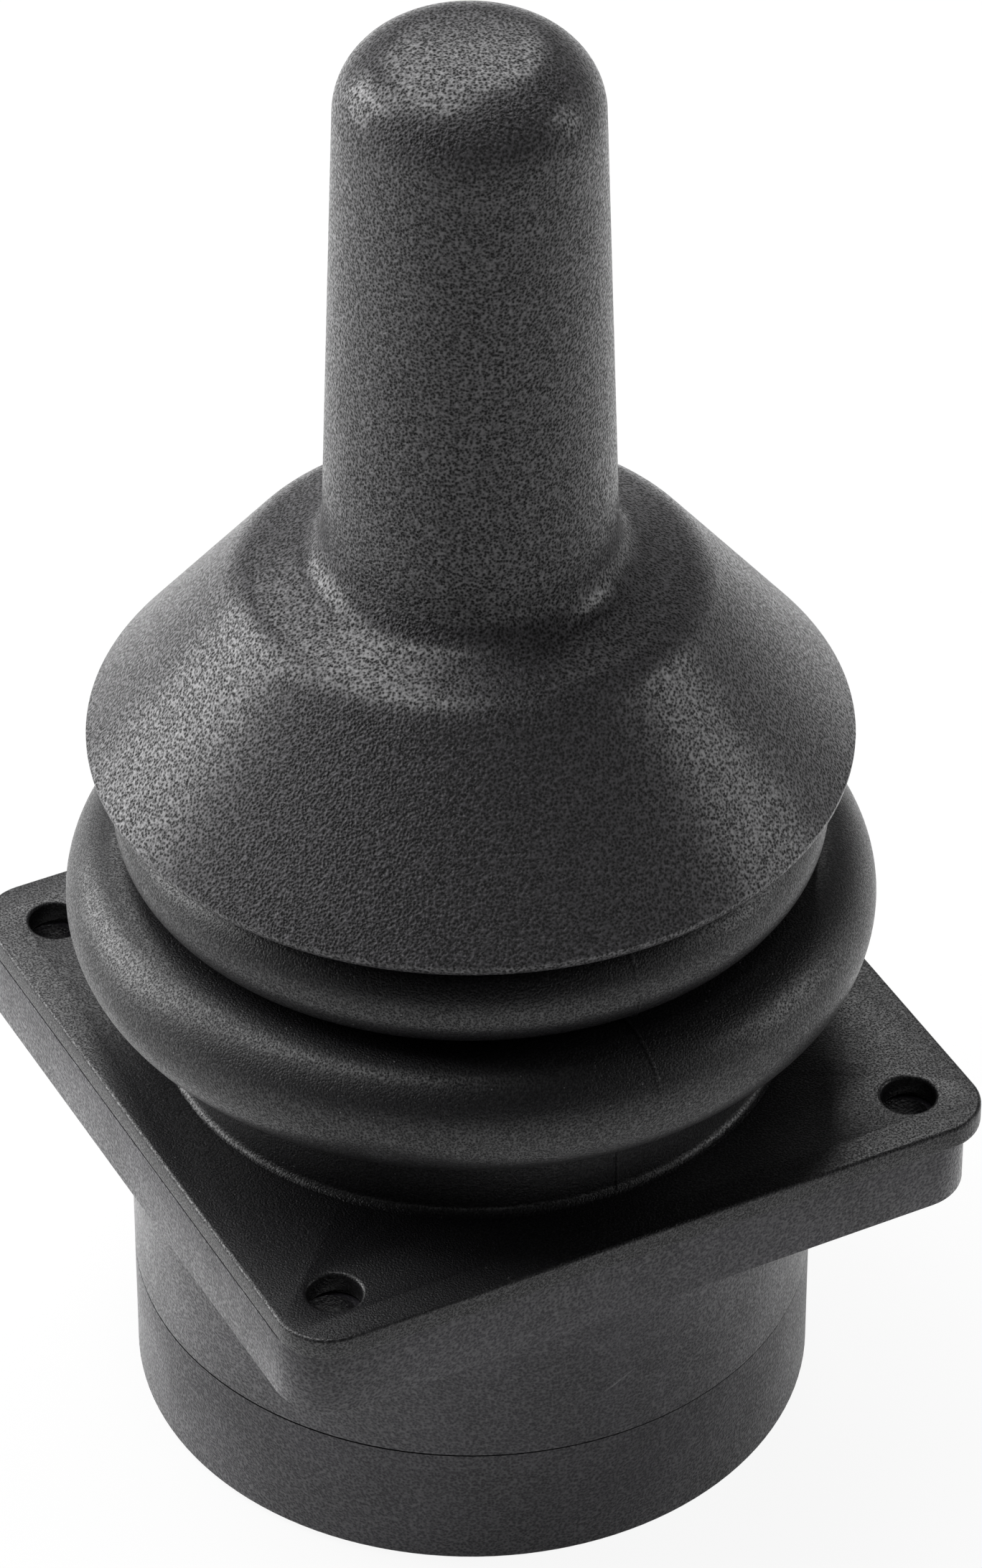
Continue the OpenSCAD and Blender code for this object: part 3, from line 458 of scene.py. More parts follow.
@node_group(
    "Turned about the lever axis", "GeometryNodeTree",
    profile="Geometry", facets=96, material="Material",
)
def turned_tree(tree, profile, facets, material):
    """Turns a profile (x = radius, z = height) about the lever axis."""
    size = node(tree, "GeometryNodeAttributeDomainSize", {"Geometry": profile})["Point Count"]
    grid = node(
        tree, "GeometryNodeMeshGrid",
        {"Size X": 1.0, "Size Y": 1.0, "Vertices Y": size, "Vertices X": facets + 1.0},
    )["Mesh"]
    here = node(tree, "GeometryNodeInputPosition")[0]
    x, y, _ = parts(here)
    turn = (x + 0.5) * math.tau
    step = (y + 0.5) * (size - 1.0)
    sample = node(
        tree, "GeometryNodeSampleIndex",
        {"Geometry": profile, "Index": maths("ROUND", step), "Value": here},
        data_type="FLOAT_VECTOR", domain="POINT",
    )
    radius, _, height = parts(sample["Value"])
    wrapped = moved(grid, radius * maths("COSINE", turn), radius * maths("SINE", turn), height)
    return real(merged(wrapped), material)


def turned(name, profile, facets, material):
    """A round piece: a profile of (radius, height) turned about the lever axis.
    It runs up the outside and down the inside, so that the faces point outwards."""
    points = [(r, 0, z) for r, z in profile]
    edges = [(i, i + 1) for i in range(len(points) - 1)]
    return grown(piece_from(name, points, edges), turned_tree(), facets=facets, material=material)


def arc(centre, radius, start, end, steps=12):
    """Points along an arc in the plane of a profile. Angles are in degrees."""
    turns = [math.radians(start + (end - start) * i / steps) for i in range(steps + 1)]
    return [(centre[0] + radius * math.cos(a), centre[1] + radius * math.sin(a)) for a in turns]


def rounded_corner(a, b, c, radius, steps):
    """Points of the arc that rounds corner b of the path a, b, c."""
    a, b, c = Vector(a), Vector(b), Vector(c)
    u, v = (a - b).normalized(), (c - b).normalized()
    half = u.angle(v) / 2
    middle = b + (u + v).normalized() * radius / math.sin(half)
    p, q = b + u * radius / math.tan(half) - middle, b + v * radius / math.tan(half) - middle
    start = math.degrees(math.atan2(p.y, p.x))
    sweep = math.degrees(math.atan2(q.y, q.x)) - start
    sweep -= 360 * round(sweep / 360)
    return arc(middle, radius, start, start + sweep, steps)


def square_plate(name, width, corner, round_holes, thickness, edge, z):
    """A square plate with rounded corners and edges, and its underside at z. Its holes are given
    as (x, y, radius, steps round)."""
    curve = bpy.data.curves.new(name, "CURVE")
    curve.dimensions = "2D"
    curve.fill_mode = "BOTH"
    curve.extrude = thickness / 2 - edge
    curve.bevel_depth = edge
    curve.bevel_resolution = 3
    curve.offset = -edge
    half = width / 2 - corner
    rim = []
    for x, y, start in ((1, 1, 0), (-1, 1, 90), (-1, -1, 180), (1, -1, 270)):
        rim += arc((x * half, y * half), corner, start, start + 90, 14)
    holes = [arc((x, y), radius, 360, 0, steps)[:-1] for x, y, radius, steps in round_holes]
    for outline in (rim, *holes):
        spline = curve.splines.new("POLY")
        spline.points.add(len(outline) - 1)
        for place, (x, y) in zip(spline.points, outline):
            place.co = (x, y, 0, 1)
        spline.use_cyclic_u = True
    drawn = linked(name + "_drawn", curve)
    bpy.context.view_layer.update()
    mesh = bpy.data.meshes.new_from_object(
        drawn.evaluated_get(bpy.context.evaluated_depsgraph_get())
    )
    bpy.data.objects.remove(drawn)
    with edited(mesh) as plate:
        bmesh.ops.remove_doubles(plate, verts=plate.verts, dist=SAME_PLACE)
        bmesh.ops.translate(plate, verts=plate.verts, vec=(0, 0, z + thickness / 2))
        bmesh.ops.recalc_face_normals(plate, faces=plate.faces)
    return linked(name, mesh)


@node_group(
    "Conical coil", "GeometryNodeTree", base="Geometry", turns=5.0, base_radius=0.0162,
    top_radius=0.009, travel=0.012, wire=0.0014, height=0.042, start=0.0, end=1.0, steps=200,
    material="Material",
)
def spring_tree(
    tree, _, turns, base_radius, top_radius, travel, wire, height, start, end, steps, material
):
    """A conical coil with close turns at both ends, from one share of it to another."""
    line = node(tree, "GeometryNodeMeshLine", {"Count": steps + 1.0})[0]
    part = node(tree, "GeometryNodeInputIndex")[0] / steps
    turn = maths("MULTIPLY_ADD", part, end - start, start) * turns
    close = wire * 1.08
    open_turns = turns - 2.0
    pitch = (travel - close * 2.0) / open_turns
    first = close * maths("MINIMUM", turn, 1.0)
    middle = maths("MINIMUM", maths("MAXIMUM", turn - 1.0, 0.0), open_turns)
    last = maths("MAXIMUM", turn - (turns - 1.0), 0.0)
    rise = maths("MULTIPLY_ADD", middle, pitch, first)
    rise = maths("MULTIPLY_ADD", last, close, rise)
    radius = maths("MULTIPLY_ADD", rise / travel, top_radius - base_radius, base_radius)
    angle = turn * math.tau
    wound = moved(
        line, radius * maths("COSINE", angle), radius * maths("SINE", angle), rise + height
    )
    path = node(tree, "GeometryNodeMeshToCurve", {"Mesh": wound})[0]
    section = node(
        tree, "GeometryNodeCurvePrimitiveCircle", {"Resolution": 14, "Radius": wire * 0.5}
    )[0]
    inputs = {"Curve": path, "Profile Curve": section, "Fill Caps": True}
    return real(node(tree, "GeometryNodeCurveToMesh", inputs)[0], material)


@node_group(
    "Pan head screws", "GeometryNodeTree", places="Geometry", thread_diameter=0.002,
    shank_length=0.005, head_diameter=0.0037, head_height=0.0014, pitch=0.0005, turned_over=0.0,
    material="Material",
)
def screw_tree(tree, places, thread_d, shank_l, head_d, head_h, pitch, turned_over, material):
    """Puts a pan head screw with a cross recess at each point, pointing up or down."""
    x, y, z = parts(node(tree, "GeometryNodeInputPosition")[0])
    # head: the lower half of a ball, cut flat underneath and pressed to the head's height
    cut_at = 0.8
    ball = node(tree, "GeometryNodeMeshUVSphere", {"Segments": 32, "Rings": 24, "Radius": 1.0})[0]
    flat = maths("MAXIMUM", maths("MINIMUM", z, 0.0), -cut_at) * (head_h / cut_at)
    wide = head_d * 0.5
    head = merged(moved(ball, x * wide, y * wide, flat))
    down = vector(tree, z=head_h * -1.0)
    long, short = head_d * 0.55, head_d * 0.13
    for across in ((long, short), (short, long)):
        blade = node(tree, "GeometryNodeMeshCube", {"Size": vector(tree, *across, head_h * 1.1)})
        lowered = node(tree, "GeometryNodeTransform", {"Geometry": blade[0], "Translation": down})
        head = node(
            tree, "GeometryNodeMeshBoolean", {"Mesh 1": head, "Mesh 2": lowered[0]},
            operation="DIFFERENCE", solver="EXACT",
        )[0]
    # shank: a tube of rings, drawn in between the crests of the thread
    rings = maths("CEIL", shank_l / pitch) * 5.0
    shank = node(
        tree, "GeometryNodeMeshCylinder",
        {"Vertices": 20, "Side Segments": rings, "Radius": 1.0, "Depth": shank_l},
        fill_type="NGON",
    )[0]
    wave = maths("FRACT", z / pitch - maths("ARCTAN2", y, x) / math.tau)
    wave = maths("ABSOLUTE", wave * 2.0 - 1.0)
    thread_depth = 0.14
    crest = maths("MULTIPLY_ADD", wave, thread_depth, 1 - thread_depth) * (thread_d * 0.5)
    whole = node(
        tree, "GeometryNodeJoinGeometry", {0: moved(shank, x * crest, y * crest, z + shank_l * 0.5)}
    )
    join(head, whole.made.inputs[0])
    return stood_at(places, whole[0], material, vector(tree, turned_over * math.pi))


@node_group(
    "Contact pins", "GeometryNodeTree",
    places="Geometry", width=0.00064, pin_length=0.0073, material="Material",
)
def pin_tree(tree, places, width, pin_l, material):
    """Stands a square contact pin with a tapered tip at each point."""
    size = vector(tree, width, width, pin_l)
    bar = node(tree, "GeometryNodeMeshCube", {"Size": size, "Vertices Z": 12})[0]
    x, y, z = parts(node(tree, "GeometryNodeInputPosition")[0])
    half = pin_l * 0.5
    narrow = maths("MULTIPLY_ADD", (z + half) / width, 0.45, 0.5)
    narrow = maths("MINIMUM", narrow, 1.0)
    return stood_at(places, moved(bar, x * narrow, y * narrow, z + half), material)


# ---------- surface effects shared by the materials ----------


def object_place(tree):
    """Position on the piece, in metres."""
    return node(tree, "ShaderNodeTexCoord")["Object"]


def ramp(value, low, high):
    """0 below low, 1 above high, and a smooth rise between them."""
    return node(
        value.tree, "ShaderNodeMapRange", {"Value": value, "From Min": low, "From Max": high},
        interpolation_type="SMOOTHSTEP",
    )[0]


def noise(place, scale, detail=2.0, roughness=0.5):
    """Cloudy noise, mostly between 0.3 and 0.7."""
    inputs = {"Vector": place, "Scale": scale, "Detail": detail, "Roughness": roughness}
    return node(place.tree, "ShaderNodeTexNoise", inputs)[0]


@node_group("Moulded grain", grain_size=0.0004, patch_size=0.012)
def moulded_grain(tree, grain_size, patch_size):
    """Pitted grain of a moulded surface, with soft uneven gloss."""
    place = object_place(tree)
    fine = 1.0 / grain_size
    cells = node(
        tree, "ShaderNodeTexVoronoi", {"Vector": place, "Scale": fine, "Smoothness": 0.6},
        feature="SMOOTH_F1",
    )["Distance"]
    height = cells * 0.55 + noise(place, fine * 0.9, 3.0, 0.6) * 0.6
    patch = noise(place, 1.0 / patch_size, 3.0, 0.55)
    # Tone is high on the crests and low in the pits; besides gloss, the grip and the boot use it
    # for a painted highlight on the crests and painted shade in the pits
    return {"Height": height, "Tone": ramp(height, 0.35, 0.85), "Patch": ramp(patch, 0.3, 0.7)}


@node_group("Dust specks", spacing=0.001, size=0.12, amount=0.4)
def dust_specks(tree, spacing, size, amount):
    """Small specks of dust, thicker in some places."""
    place = object_place(tree)
    scale = 1.0 / spacing
    cells = node(tree, "ShaderNodeTexVoronoi", {"Vector": place, "Scale": scale})
    chance = node(tree, "ShaderNodeSeparateColor", {0: cells["Color"]})
    reach = size * maths("MULTIPLY_ADD", chance[1], 0.7, 0.3)
    speck = maths("LESS_THAN", cells["Distance"], reach)
    likely = amount * maths("MULTIPLY_ADD", noise(place, scale * 0.06), 1.6, 0.2)
    kept = maths("LESS_THAN", chance[0], likely)
    return {"Mask": speck * kept * maths("MULTIPLY_ADD", chance[2], 0.6, 0.4)}


@node_group("Scuffed patch", centre=(0.0, 0.0, 0.0), reach=0.015, stroke=0.0006)
def scuffed_patch(tree, centre, reach, stroke):
    """Chalky rubbing round a place, broken up into fine strokes."""
    place = object_place(tree)
    apart = vector_maths("DISTANCE", place, centre, "Value") / reach
    edge = noise(place, 2.5 / reach, 4.0, 0.6)
    near = ramp(edge * 1.6 - apart, -0.05, 0.55)
    stretch = node(
        tree, "ShaderNodeMapping",
        {"Vector": place, "Scale": (0.35, 0.35, 1.0), "Rotation": (0.3, 0.2, 0.1)},
    )[0]
    fine = noise(stretch, 1.0 / stroke, 5.0, 0.75)
    return {"Mask": near * ramp(fine, 0.46, 0.78)}


@node_group("Drawn lines", line_width=0.0001, stretch=(1.0, 1.0, 0.05))
def drawn_lines(tree, line_width, stretch):
    """Fine lines left by grinding, drawing or rolling along one direction."""
    place = object_place(tree)
    lines = noise(vector_maths("MULTIPLY", place, stretch), 1.0 / line_width, 3.0, 0.6)
    cloud = noise(place, 260.0, 3.0)
    return {"Height": lines, "Tone": maths("MULTIPLY_ADD", lines, 0.5, cloud * 0.5)}


def scratch(tree, start, end, width):
    """Mask of a fine scratch from one place to another, which thins out towards its end."""
    start, end = Vector(start), Vector(end)
    along = end - start
    from_start = vector_maths("SUBTRACT", object_place(tree), start)
    run = vector_maths("DOT_PRODUCT", from_start, along.normalized(), "Value")
    part = maths("DIVIDE", run, along.length, clamp=True)
    nearest = node(
        tree, "ShaderNodeVectorMath", {0: along, "Scale": part}, operation="SCALE"
    )[0]
    apart = vector_maths("DISTANCE", from_start, nearest, "Value")
    reach = maths("MULTIPLY_ADD", part, -0.8 * width, width)
    return ramp(apart / reach, 1.0, 0.4)


# ---------- materials ----------


def finish(label):
    """For a function that fills a material. It becomes a function that makes the material once
    and returns it."""

    def wrap(fill):
        def get():
            if label not in bpy.data.materials:
                material = bpy.data.materials.new(label)
                material.use_nodes = True
                fill(material.node_tree, material.node_tree.nodes["Principled BSDF"])
            return bpy.data.materials[label]

        return get

    return wrap


def effect(tree, group, **values):
    """Puts a shader group into a material, with its own values."""
    inputs = {label_of(name): value for name, value in values.items()}
    return node(tree, "ShaderNodeGroup", inputs, node_tree=group)


def colours():
    """The colours that the user can change."""
    return bpy.context.scene.joystick.colours


def scaled(value, factor):
    """A colour made lighter or darker."""
    return tuple(min(1.0, c * factor) for c in value)


def mixed(mask, first, second):
    """Mix of two colours, by a mask."""
    pair = [c if isinstance(c, Value) else (*tuple(c)[:3], 1) for c in (first, second)]
    return node(
        mask.tree, "ShaderNodeMix", {0: mask, 6: pair[0], 7: pair[1]}, data_type="RGBA"
    )[2]


def dusted(shade, mask, strength):
    """A colour with dust or chalk on it where the mask is."""
    return mixed(mask * strength, shade, colours().dust)


def between(mask, low, high):
    """A number that goes from low to high with the mask."""
    return maths("MULTIPLY_ADD", mask, high - low, low)


def surface(shader, shade, roughness, height, depth, **plain):
    """Joins the colour and roughness of a surface, and its relief of a depth in metres. The plain
    values are the same all over it."""
    tree = height.tree
    join(shade, shader.inputs["Base Color"])
    join(roughness, shader.inputs["Roughness"])
    bump = node(tree, "ShaderNodeBump", {"Height": height, "Distance": depth, "Strength": 1.0})
    join(bump[0], shader.inputs["Normal"])
    for name, value in plain.items():
        shader.inputs[name.replace("_", " ")].default_value = value


def worn_crests(shader, crests, pit_gloss, crest_index, crest_roughness):
    """A polished skin on the crests of the grain, with duller pits between them."""
    shader.inputs["Specular IOR Level"].default_value = pit_gloss
    shader.inputs["Coat IOR"].default_value = crest_index
    shader.inputs["Coat Roughness"].default_value = crest_roughness
    join(crests, shader.inputs["Coat Weight"])


@finish("grained grip plastic")
def grip_plastic(tree, shader):
    """Coarse spark-eroded grain, with worn gloss on the crests, a painted highlight on the crests
    and painted shade in the pits.
    """
    base = colours().grip
    grain = effect(tree, moulded_grain(), grain_size=0.00022, patch_size=0.014)
    dust = effect(tree, dust_specks(), spacing=0.0016, size=0.05, amount=0.16)
    # painted highlight and painted shade: the colour goes from a tenth of the grip colour in the
    # pits to almost three times it on the crests
    shade = mixed(grain["Tone"], scaled(base, 0.1), scaled(base, 2.9))
    gloss = maths("MULTIPLY_ADD", grain["Patch"], 0.3, grain["Tone"] * 0.7)
    surface(
        shader, dusted(shade, dust["Mask"], 0.25), between(gloss, 0.42, 0.24),
        grain["Height"], 0.00050,
    )
    worn_crests(shader, grain["Tone"], 0.2, 1.6, 0.30)


@finish("matte boot rubber")
def boot_rubber(tree, shader):
    """Matte rubber with a fine skin, dust, and painted shade in the pits of its grain."""
    base = colours().boot
    grain = effect(tree, moulded_grain(), grain_size=0.00016, patch_size=0.009)
    dust = effect(tree, dust_specks(), spacing=0.0009, size=0.085, amount=0.52)
    shade = mixed(grain["Patch"], scaled(base, 0.8), scaled(base, 1.3))
    # painted shade: the pits of the grain are darkened to 0.6 of the rubber colour
    shade = mixed(grain["Tone"], scaled(base, 0.6), shade)
    surface(
        shader, dusted(shade, dust["Mask"], 0.85), between(grain["Patch"], 0.42, 0.34),
        grain["Height"], 0.00011,
    )
    worn_crests(shader, grain["Tone"], 0.2, 1.6, 0.36)


def body_plastic(label, centre, reach):
    """Satin plastic with dust, a scratch, and chalky scuffs round a place."""

    @finish(label)
    def fill(tree, shader):
        base = colours().housing
        grain = effect(tree, moulded_grain(), grain_size=0.00022, patch_size=0.007)
        dust = effect(tree, dust_specks(), spacing=0.0010, size=0.07, amount=0.30)
        scuff = effect(tree, scuffed_patch(), centre=centre, reach=reach, stroke=0.0007)
        line = scratch(tree, (-0.0023, -0.0272, 0.0164), (0.0002, -0.0272, 0.0178), 0.00016)
        shade = mixed(grain["Patch"], scaled(base, 0.8), scaled(base, 1.35))
        for mask, strength in ((scuff["Mask"], 0.22), (line, 0.5), (dust["Mask"], 0.3)):
            shade = dusted(shade, mask, strength)
        gloss = maths("MULTIPLY_ADD", scuff["Mask"], 0.2, between(grain["Patch"], 0.36, 0.27))
        surface(shader, shade, gloss, grain["Height"], 0.00009)
        worn_crests(shader, grain["Tone"], 0.25, 1.55, 0.30)

    return fill


def moulded_finish(label, base, grain_size, depth, roughness, spread=0.25, metallic=0.0):
    """A plain moulded or cast surface with its grain and a little unevenness. Its colour is given,
    or named among the colours that the user can change."""

    @finish(label)
    def fill(tree, shader):
        tint = getattr(colours(), base) if isinstance(base, str) else base
        grain = effect(
            tree, moulded_grain(), grain_size=grain_size, patch_size=grain_size * 25
        )
        shade = mixed(grain["Patch"], scaled(tint, 1 - spread), scaled(tint, 1 + spread))
        gloss = between(grain["Tone"], roughness + 0.06, roughness - 0.06)
        surface(shader, shade, gloss, grain["Height"], depth, Metallic=metallic)

    return fill


def metal_finish(label, base, roughness, line_width, stretch, depth):
    """A metal surface with the lines of its making."""

    @finish(label)
    def fill(tree, shader):
        lines = effect(tree, drawn_lines(), line_width=line_width, stretch=stretch)
        shade = mixed(lines["Tone"], scaled(base, 0.88), scaled(base, 1.12))
        gloss = between(lines["Tone"], roughness - 0.08, roughness + 0.1)
        surface(shader, shade, gloss, lines["Height"], depth, Metallic=1.0)

    return fill


@finish("board laminate")
def board_laminate(tree, shader):
    """Solder mask over copper tracks, uneven in colour."""
    base = colours().board
    cells = node(
        tree, "ShaderNodeTexVoronoi",
        {"Vector": object_place(tree), "Scale": 420.0, "Randomness": 0.35},
        feature="DISTANCE_TO_EDGE",
    )["Distance"]
    track = ramp(cells, 0.10, 0.05)
    grain = effect(tree, moulded_grain(), grain_size=0.0003, patch_size=0.006)
    shade = mixed(track, base, scaled(base, 2.2))
    shade = mixed(grain["Patch"] * 0.2, shade, scaled(base, 0.5))
    surface(shader, shade, between(grain["Patch"], 0.22, 0.34), track, 0.00004)


FINISHES = {
    "grip_plastic": grip_plastic,
    "boot_rubber": boot_rubber,
    "board_laminate": board_laminate,
    # label, middle and reach of the scuffs
    "housing_plastic": body_plastic("housing plastic", (0.004, -0.028, 0.021), 0.013),
    "cover_plastic": body_plastic("cover plastic", (0.010, -0.027, 0.004), 0.009),
    # label, colour, grain, relief, roughness, unevenness, metallic
    "seal_rubber": moulded_finish("seal rubber", (0.02, 0.02, 0.021), 0.0002, 0.00002, 0.7),
    "inner_plastic": moulded_finish("inner plastic", "inner", 0.0002, 0.00002, 0.45),
    "bush_polymer": moulded_finish("bush polymer", "bush", 0.00015, 0.00001, 0.5, 0.12),
    "socket_plastic": moulded_finish("socket plastic", "socket", 0.0002, 0.00001, 0.4, 0.06),
    "chip_package": moulded_finish(
        "chip package", (0.022, 0.022, 0.024), 0.0001, 0.00001, 0.55
    ),
    "zinc_casting": moulded_finish(
        "zinc casting", (0.42, 0.43, 0.44), 0.0003, 0.00003, 0.42, 0.12, 1.0
    ),
    "magnet_metal": moulded_finish(
        "plated magnet", (0.52, 0.52, 0.54), 0.0004, 0.000005, 0.25, 0.08, 1.0
    ),
    # label, colour, roughness, width and stretch of the lines, relief
    "plated_steel": metal_finish(
        "plated steel", (0.56, 0.57, 0.58), 0.34, 0.0002, (1.0, 0.06, 1.0), 0.000006
    ),
    "screw_steel": metal_finish(
        "zinc plated screws", (0.60, 0.61, 0.62), 0.30, 0.0003, (1.0, 1.0, 0.6), 0.000004
    ),
    "spring_steel": metal_finish(
        "spring wire", (0.48, 0.48, 0.49), 0.28, 0.0002, (1.0, 1.0, 0.3), 0.000004
    ),
    "ground_steel": metal_finish(
        "ground steel", (0.60, 0.60, 0.61), 0.24, 0.00012, (0.05, 0.05, 1.0), 0.000003
    ),
    "contact_metal": metal_finish(
        "gilt contacts", (0.80, 0.60, 0.24), 0.26, 0.0002, (1.0, 1.0, 0.05), 0.000003
    ),
    "brass": metal_finish(
        "turned brass", (0.72, 0.52, 0.22), 0.28, 0.0001, (0.05, 0.05, 1.0), 0.000004
    ),
}


# ---------- grip ----------


def grip_profile(s):
    """Profile of the grip: from the end of its bore, down inside, round the rim and to the top."""
    low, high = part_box("grip")
    rim_z, rim_r, top_z = low.z, high.x, high.z
    nut_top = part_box("grip_insert")[0].z
    edge, rim = (rim_r, rim_z + s.rim_edge), (rim_r, rim_z)
    shoulder, foot = (s.shoulder_d / 2, s.shoulder_z), (s.foot_d / 2, s.foot_z)
    top = (s.top_d / 2, top_z - s.crown)
    crown = (top[0] * 0.5, top_z - s.crown * 0.25)
    fall = Vector((rim_r - shoulder[0], edge[1] - shoulder[1]))
    across = s.wall * fall.length / -fall.y

    def skirt_in(z):
        """Inner radius of the skirt at a height."""
        return rim_r - across + (z - edge[1]) * fall.x / fall.y

    ceiling = s.shoulder_z - s.wall
    inside = (skirt_in(rim_z), rim_z)
    hollow = [
        (0, s.bore_top), (s.bore_r, s.bore_top), (s.bore_r, nut_top + s.insert_l),
        (s.insert_r, nut_top + s.insert_l), (s.insert_r, nut_top), (s.boss_r, nut_top),
        (s.boss_r, ceiling), (skirt_in(ceiling), ceiling), inside,
    ]
    outside = rounded_corner(inside, rim, edge, s.rim_round, 12) + [edge]
    outside += rounded_corner(edge, shoulder, foot, s.shoulder_round, 16)
    outside += rounded_corner(shoulder, foot, top, s.foot_fillet, 16)
    top_round = rounded_corner(foot, top, crown, s.top_round, 24)
    stem_foot, stem_top, rings = Vector(outside[-1]), Vector(top_round[0]), 40
    outside += [tuple(stem_foot.lerp(stem_top, i / rings)) for i in range(1, rings)]
    outside += top_round
    # the crown is one soft dome from the end of the rounding to the middle
    r, z = outside[-1]
    steps = 10
    for i in range(1, steps):
        t = 1 - i / steps
        outside.append((r * t, top_z - (top_z - z) * t * t))
    return hollow + outside + [(0, top_z)]


def stem_slots(s):
    """Tools that core the stem between its wall and the boss, parted by ribs."""
    top_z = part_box("grip")[1].z
    foot, head = s.shoulder_z - s.wall - s.wall / 2, s.bore_top + 2 * MM

    def stem_in(z):
        """Inner radius of the stem at a height."""
        t = (z - s.foot_z) / (top_z - s.foot_z)
        return s.foot_d / 2 + (s.top_d - s.foot_d) / 2 * t - s.wall

    corners = [
        (s.boss_r, foot), (stem_in(foot), foot), (stem_in(head), head), (s.boss_r, head),
    ]
    ring = turned("stem_slots", corners + corners[:1], 96, None)
    for half_x, half_y in ((s.foot_d / 2, s.rib / 2), (s.rib / 2, s.foot_d / 2)):
        rib = piece_from(
            "rib",
            [(x * half_x, y * half_y, z) for z in (foot - MM, head + MM)
             for x, y in ((-1, -1), (1, -1), (1, 1), (-1, 1))],
            faces=[(3, 2, 1, 0), (4, 5, 6, 7)]
            + [(k, (k + 1) % 4, (k + 1) % 4 + 4, k + 4) for k in range(4)],
        )
        cut(ring, rib)
    return ring


class JOYSTICK_OT_grip(bpy.types.Operator):
    """Build the tapered grip with its hollow skirt"""

    bl_idname = "joystick.grip"
    bl_label = "Grip"

    def execute(self, context):
        s = context.scene.joystick.grip
        grip = turned("grip_shell", grip_profile(s), s.facets, grip_plastic())
        cut(grip, stem_slots(s))
        give(smooth(grip), grip_plastic())
        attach(grip, "lever")
        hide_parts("grip")
        return {"FINISHED"}


# ---------- boot ----------


def boot_path(s, inset):
    """Face of the boot from the collar to the neck, as two runs that meet in the crease."""
    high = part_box("boot")[1]
    lower_c = (high.x - s.lower_r, s.lower_z)
    upper_z = s.lower_z + s.lower_r + s.crease + s.upper_r
    upper_c = (s.upper_d / 2 - s.upper_r, upper_z)
    fx = s.collar_d / 2 + s.collar_fillet
    over = min(lower_c[0] - fx, 0)
    rise = math.sqrt((s.collar_fillet + s.lower_r) ** 2 - over**2)
    lean = math.degrees(math.atan2(rise, over))
    crease = (
        min(lower_c[0], upper_c[0]) - s.crease_depth + s.crease / 2,
        s.lower_z + s.lower_r + s.crease / 2,
    )
    neck = (s.neck_r + s.neck_fillet, upper_z + s.upper_r + s.neck_fillet)
    lower = arc((fx, s.lower_z - rise), s.collar_fillet + inset, 180, lean, 8)
    lower += arc(lower_c, s.lower_r - inset, lean - 180, 90, 40)
    lower += arc(crease, s.crease / 2 + inset, 270, 180, 8)
    upper = arc(crease, s.crease / 2 + inset, 180, 90, 8)
    upper += arc(upper_c, s.upper_r - inset, -90, 90, 32)
    upper += arc(neck, s.neck_fillet + inset, 270, 180, 8)
    return lower, upper + [(s.neck_r - inset, high.z)]


def bead(radius, reach, height, z):
    """Bead inside a sleeve, listed from its top to its foot."""
    return [
        (radius, z + height), (radius - reach, z + height * 0.7),
        (radius - reach, z + height * 0.3), (radius, z),
    ]


def flash(path, side, s):
    """The thin line that the two halves of the mould leave along a path, on one side."""
    # section of the line: across and up, as shares of its width and height
    section = ((-0.5, -0.05), (-0.28, 0.9), (0.2, 1.0), (0.5, -0.05))
    points, faces = [], []
    reach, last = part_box("boot")[1].y, len(path) - 1
    for i, (r, z) in enumerate(path):
        along = Vector(path[min(i + 1, last)]) - Vector(path[max(i - 1, 0)])
        out = Vector((along.y, -along.x)).normalized()
        for across, up in section:
            at = Vector((r, z)) + out * s.flash_h * up
            points.append((across * s.flash_w * side, min(at.x, reach) * side, at.y))
        if i:
            a, b = 4 * (i - 1), 4 * i
            faces += [(a + k, b + k, b + k + 1, a + k + 1) for k in range(3)]
            faces.append((a + 3, b + 3, b, a))
    faces += [(0, 1, 2, 3), tuple(4 * last + k for k in (3, 2, 1, 0))]
    piece = piece_from("flash", points, faces=faces)
    with edited(piece.data) as shape:
        bmesh.ops.recalc_face_normals(shape, faces=shape.faces)
    return piece


def hole_places():
    """The four bolt holes, as (x, y)."""
    mount = next(m for m in frame["record"]["mounts"] if m["name"] == "panel_bolts")
    across, along = (mount["dims"][f"spacing_{axis}_mm"] * MM / 2 for axis in "xy")
    return [(x * across, y * along) for x in (-1, 1) for y in (-1, 1)]


def slipped(sheet, s):
    """The loose sheet sits a little off centre outside the collar, and two of its corners stand
    up."""
    held_r, free_over, corner_from, corner_over = 26.2 * MM, 3 * MM, 44 * MM, 12 * MM
    for vertex in sheet.data.vertices:
        x, y = vertex.co.x, vertex.co.y
        vertex.co.x += s.sheet_slip * min(max((math.hypot(x, y) - held_r) / free_over, 0), 1)
        corner = min(max((-x + abs(y) - corner_from) / corner_over, 0), 1)
        vertex.co.z += s.corner_lift * corner * corner
    return sheet


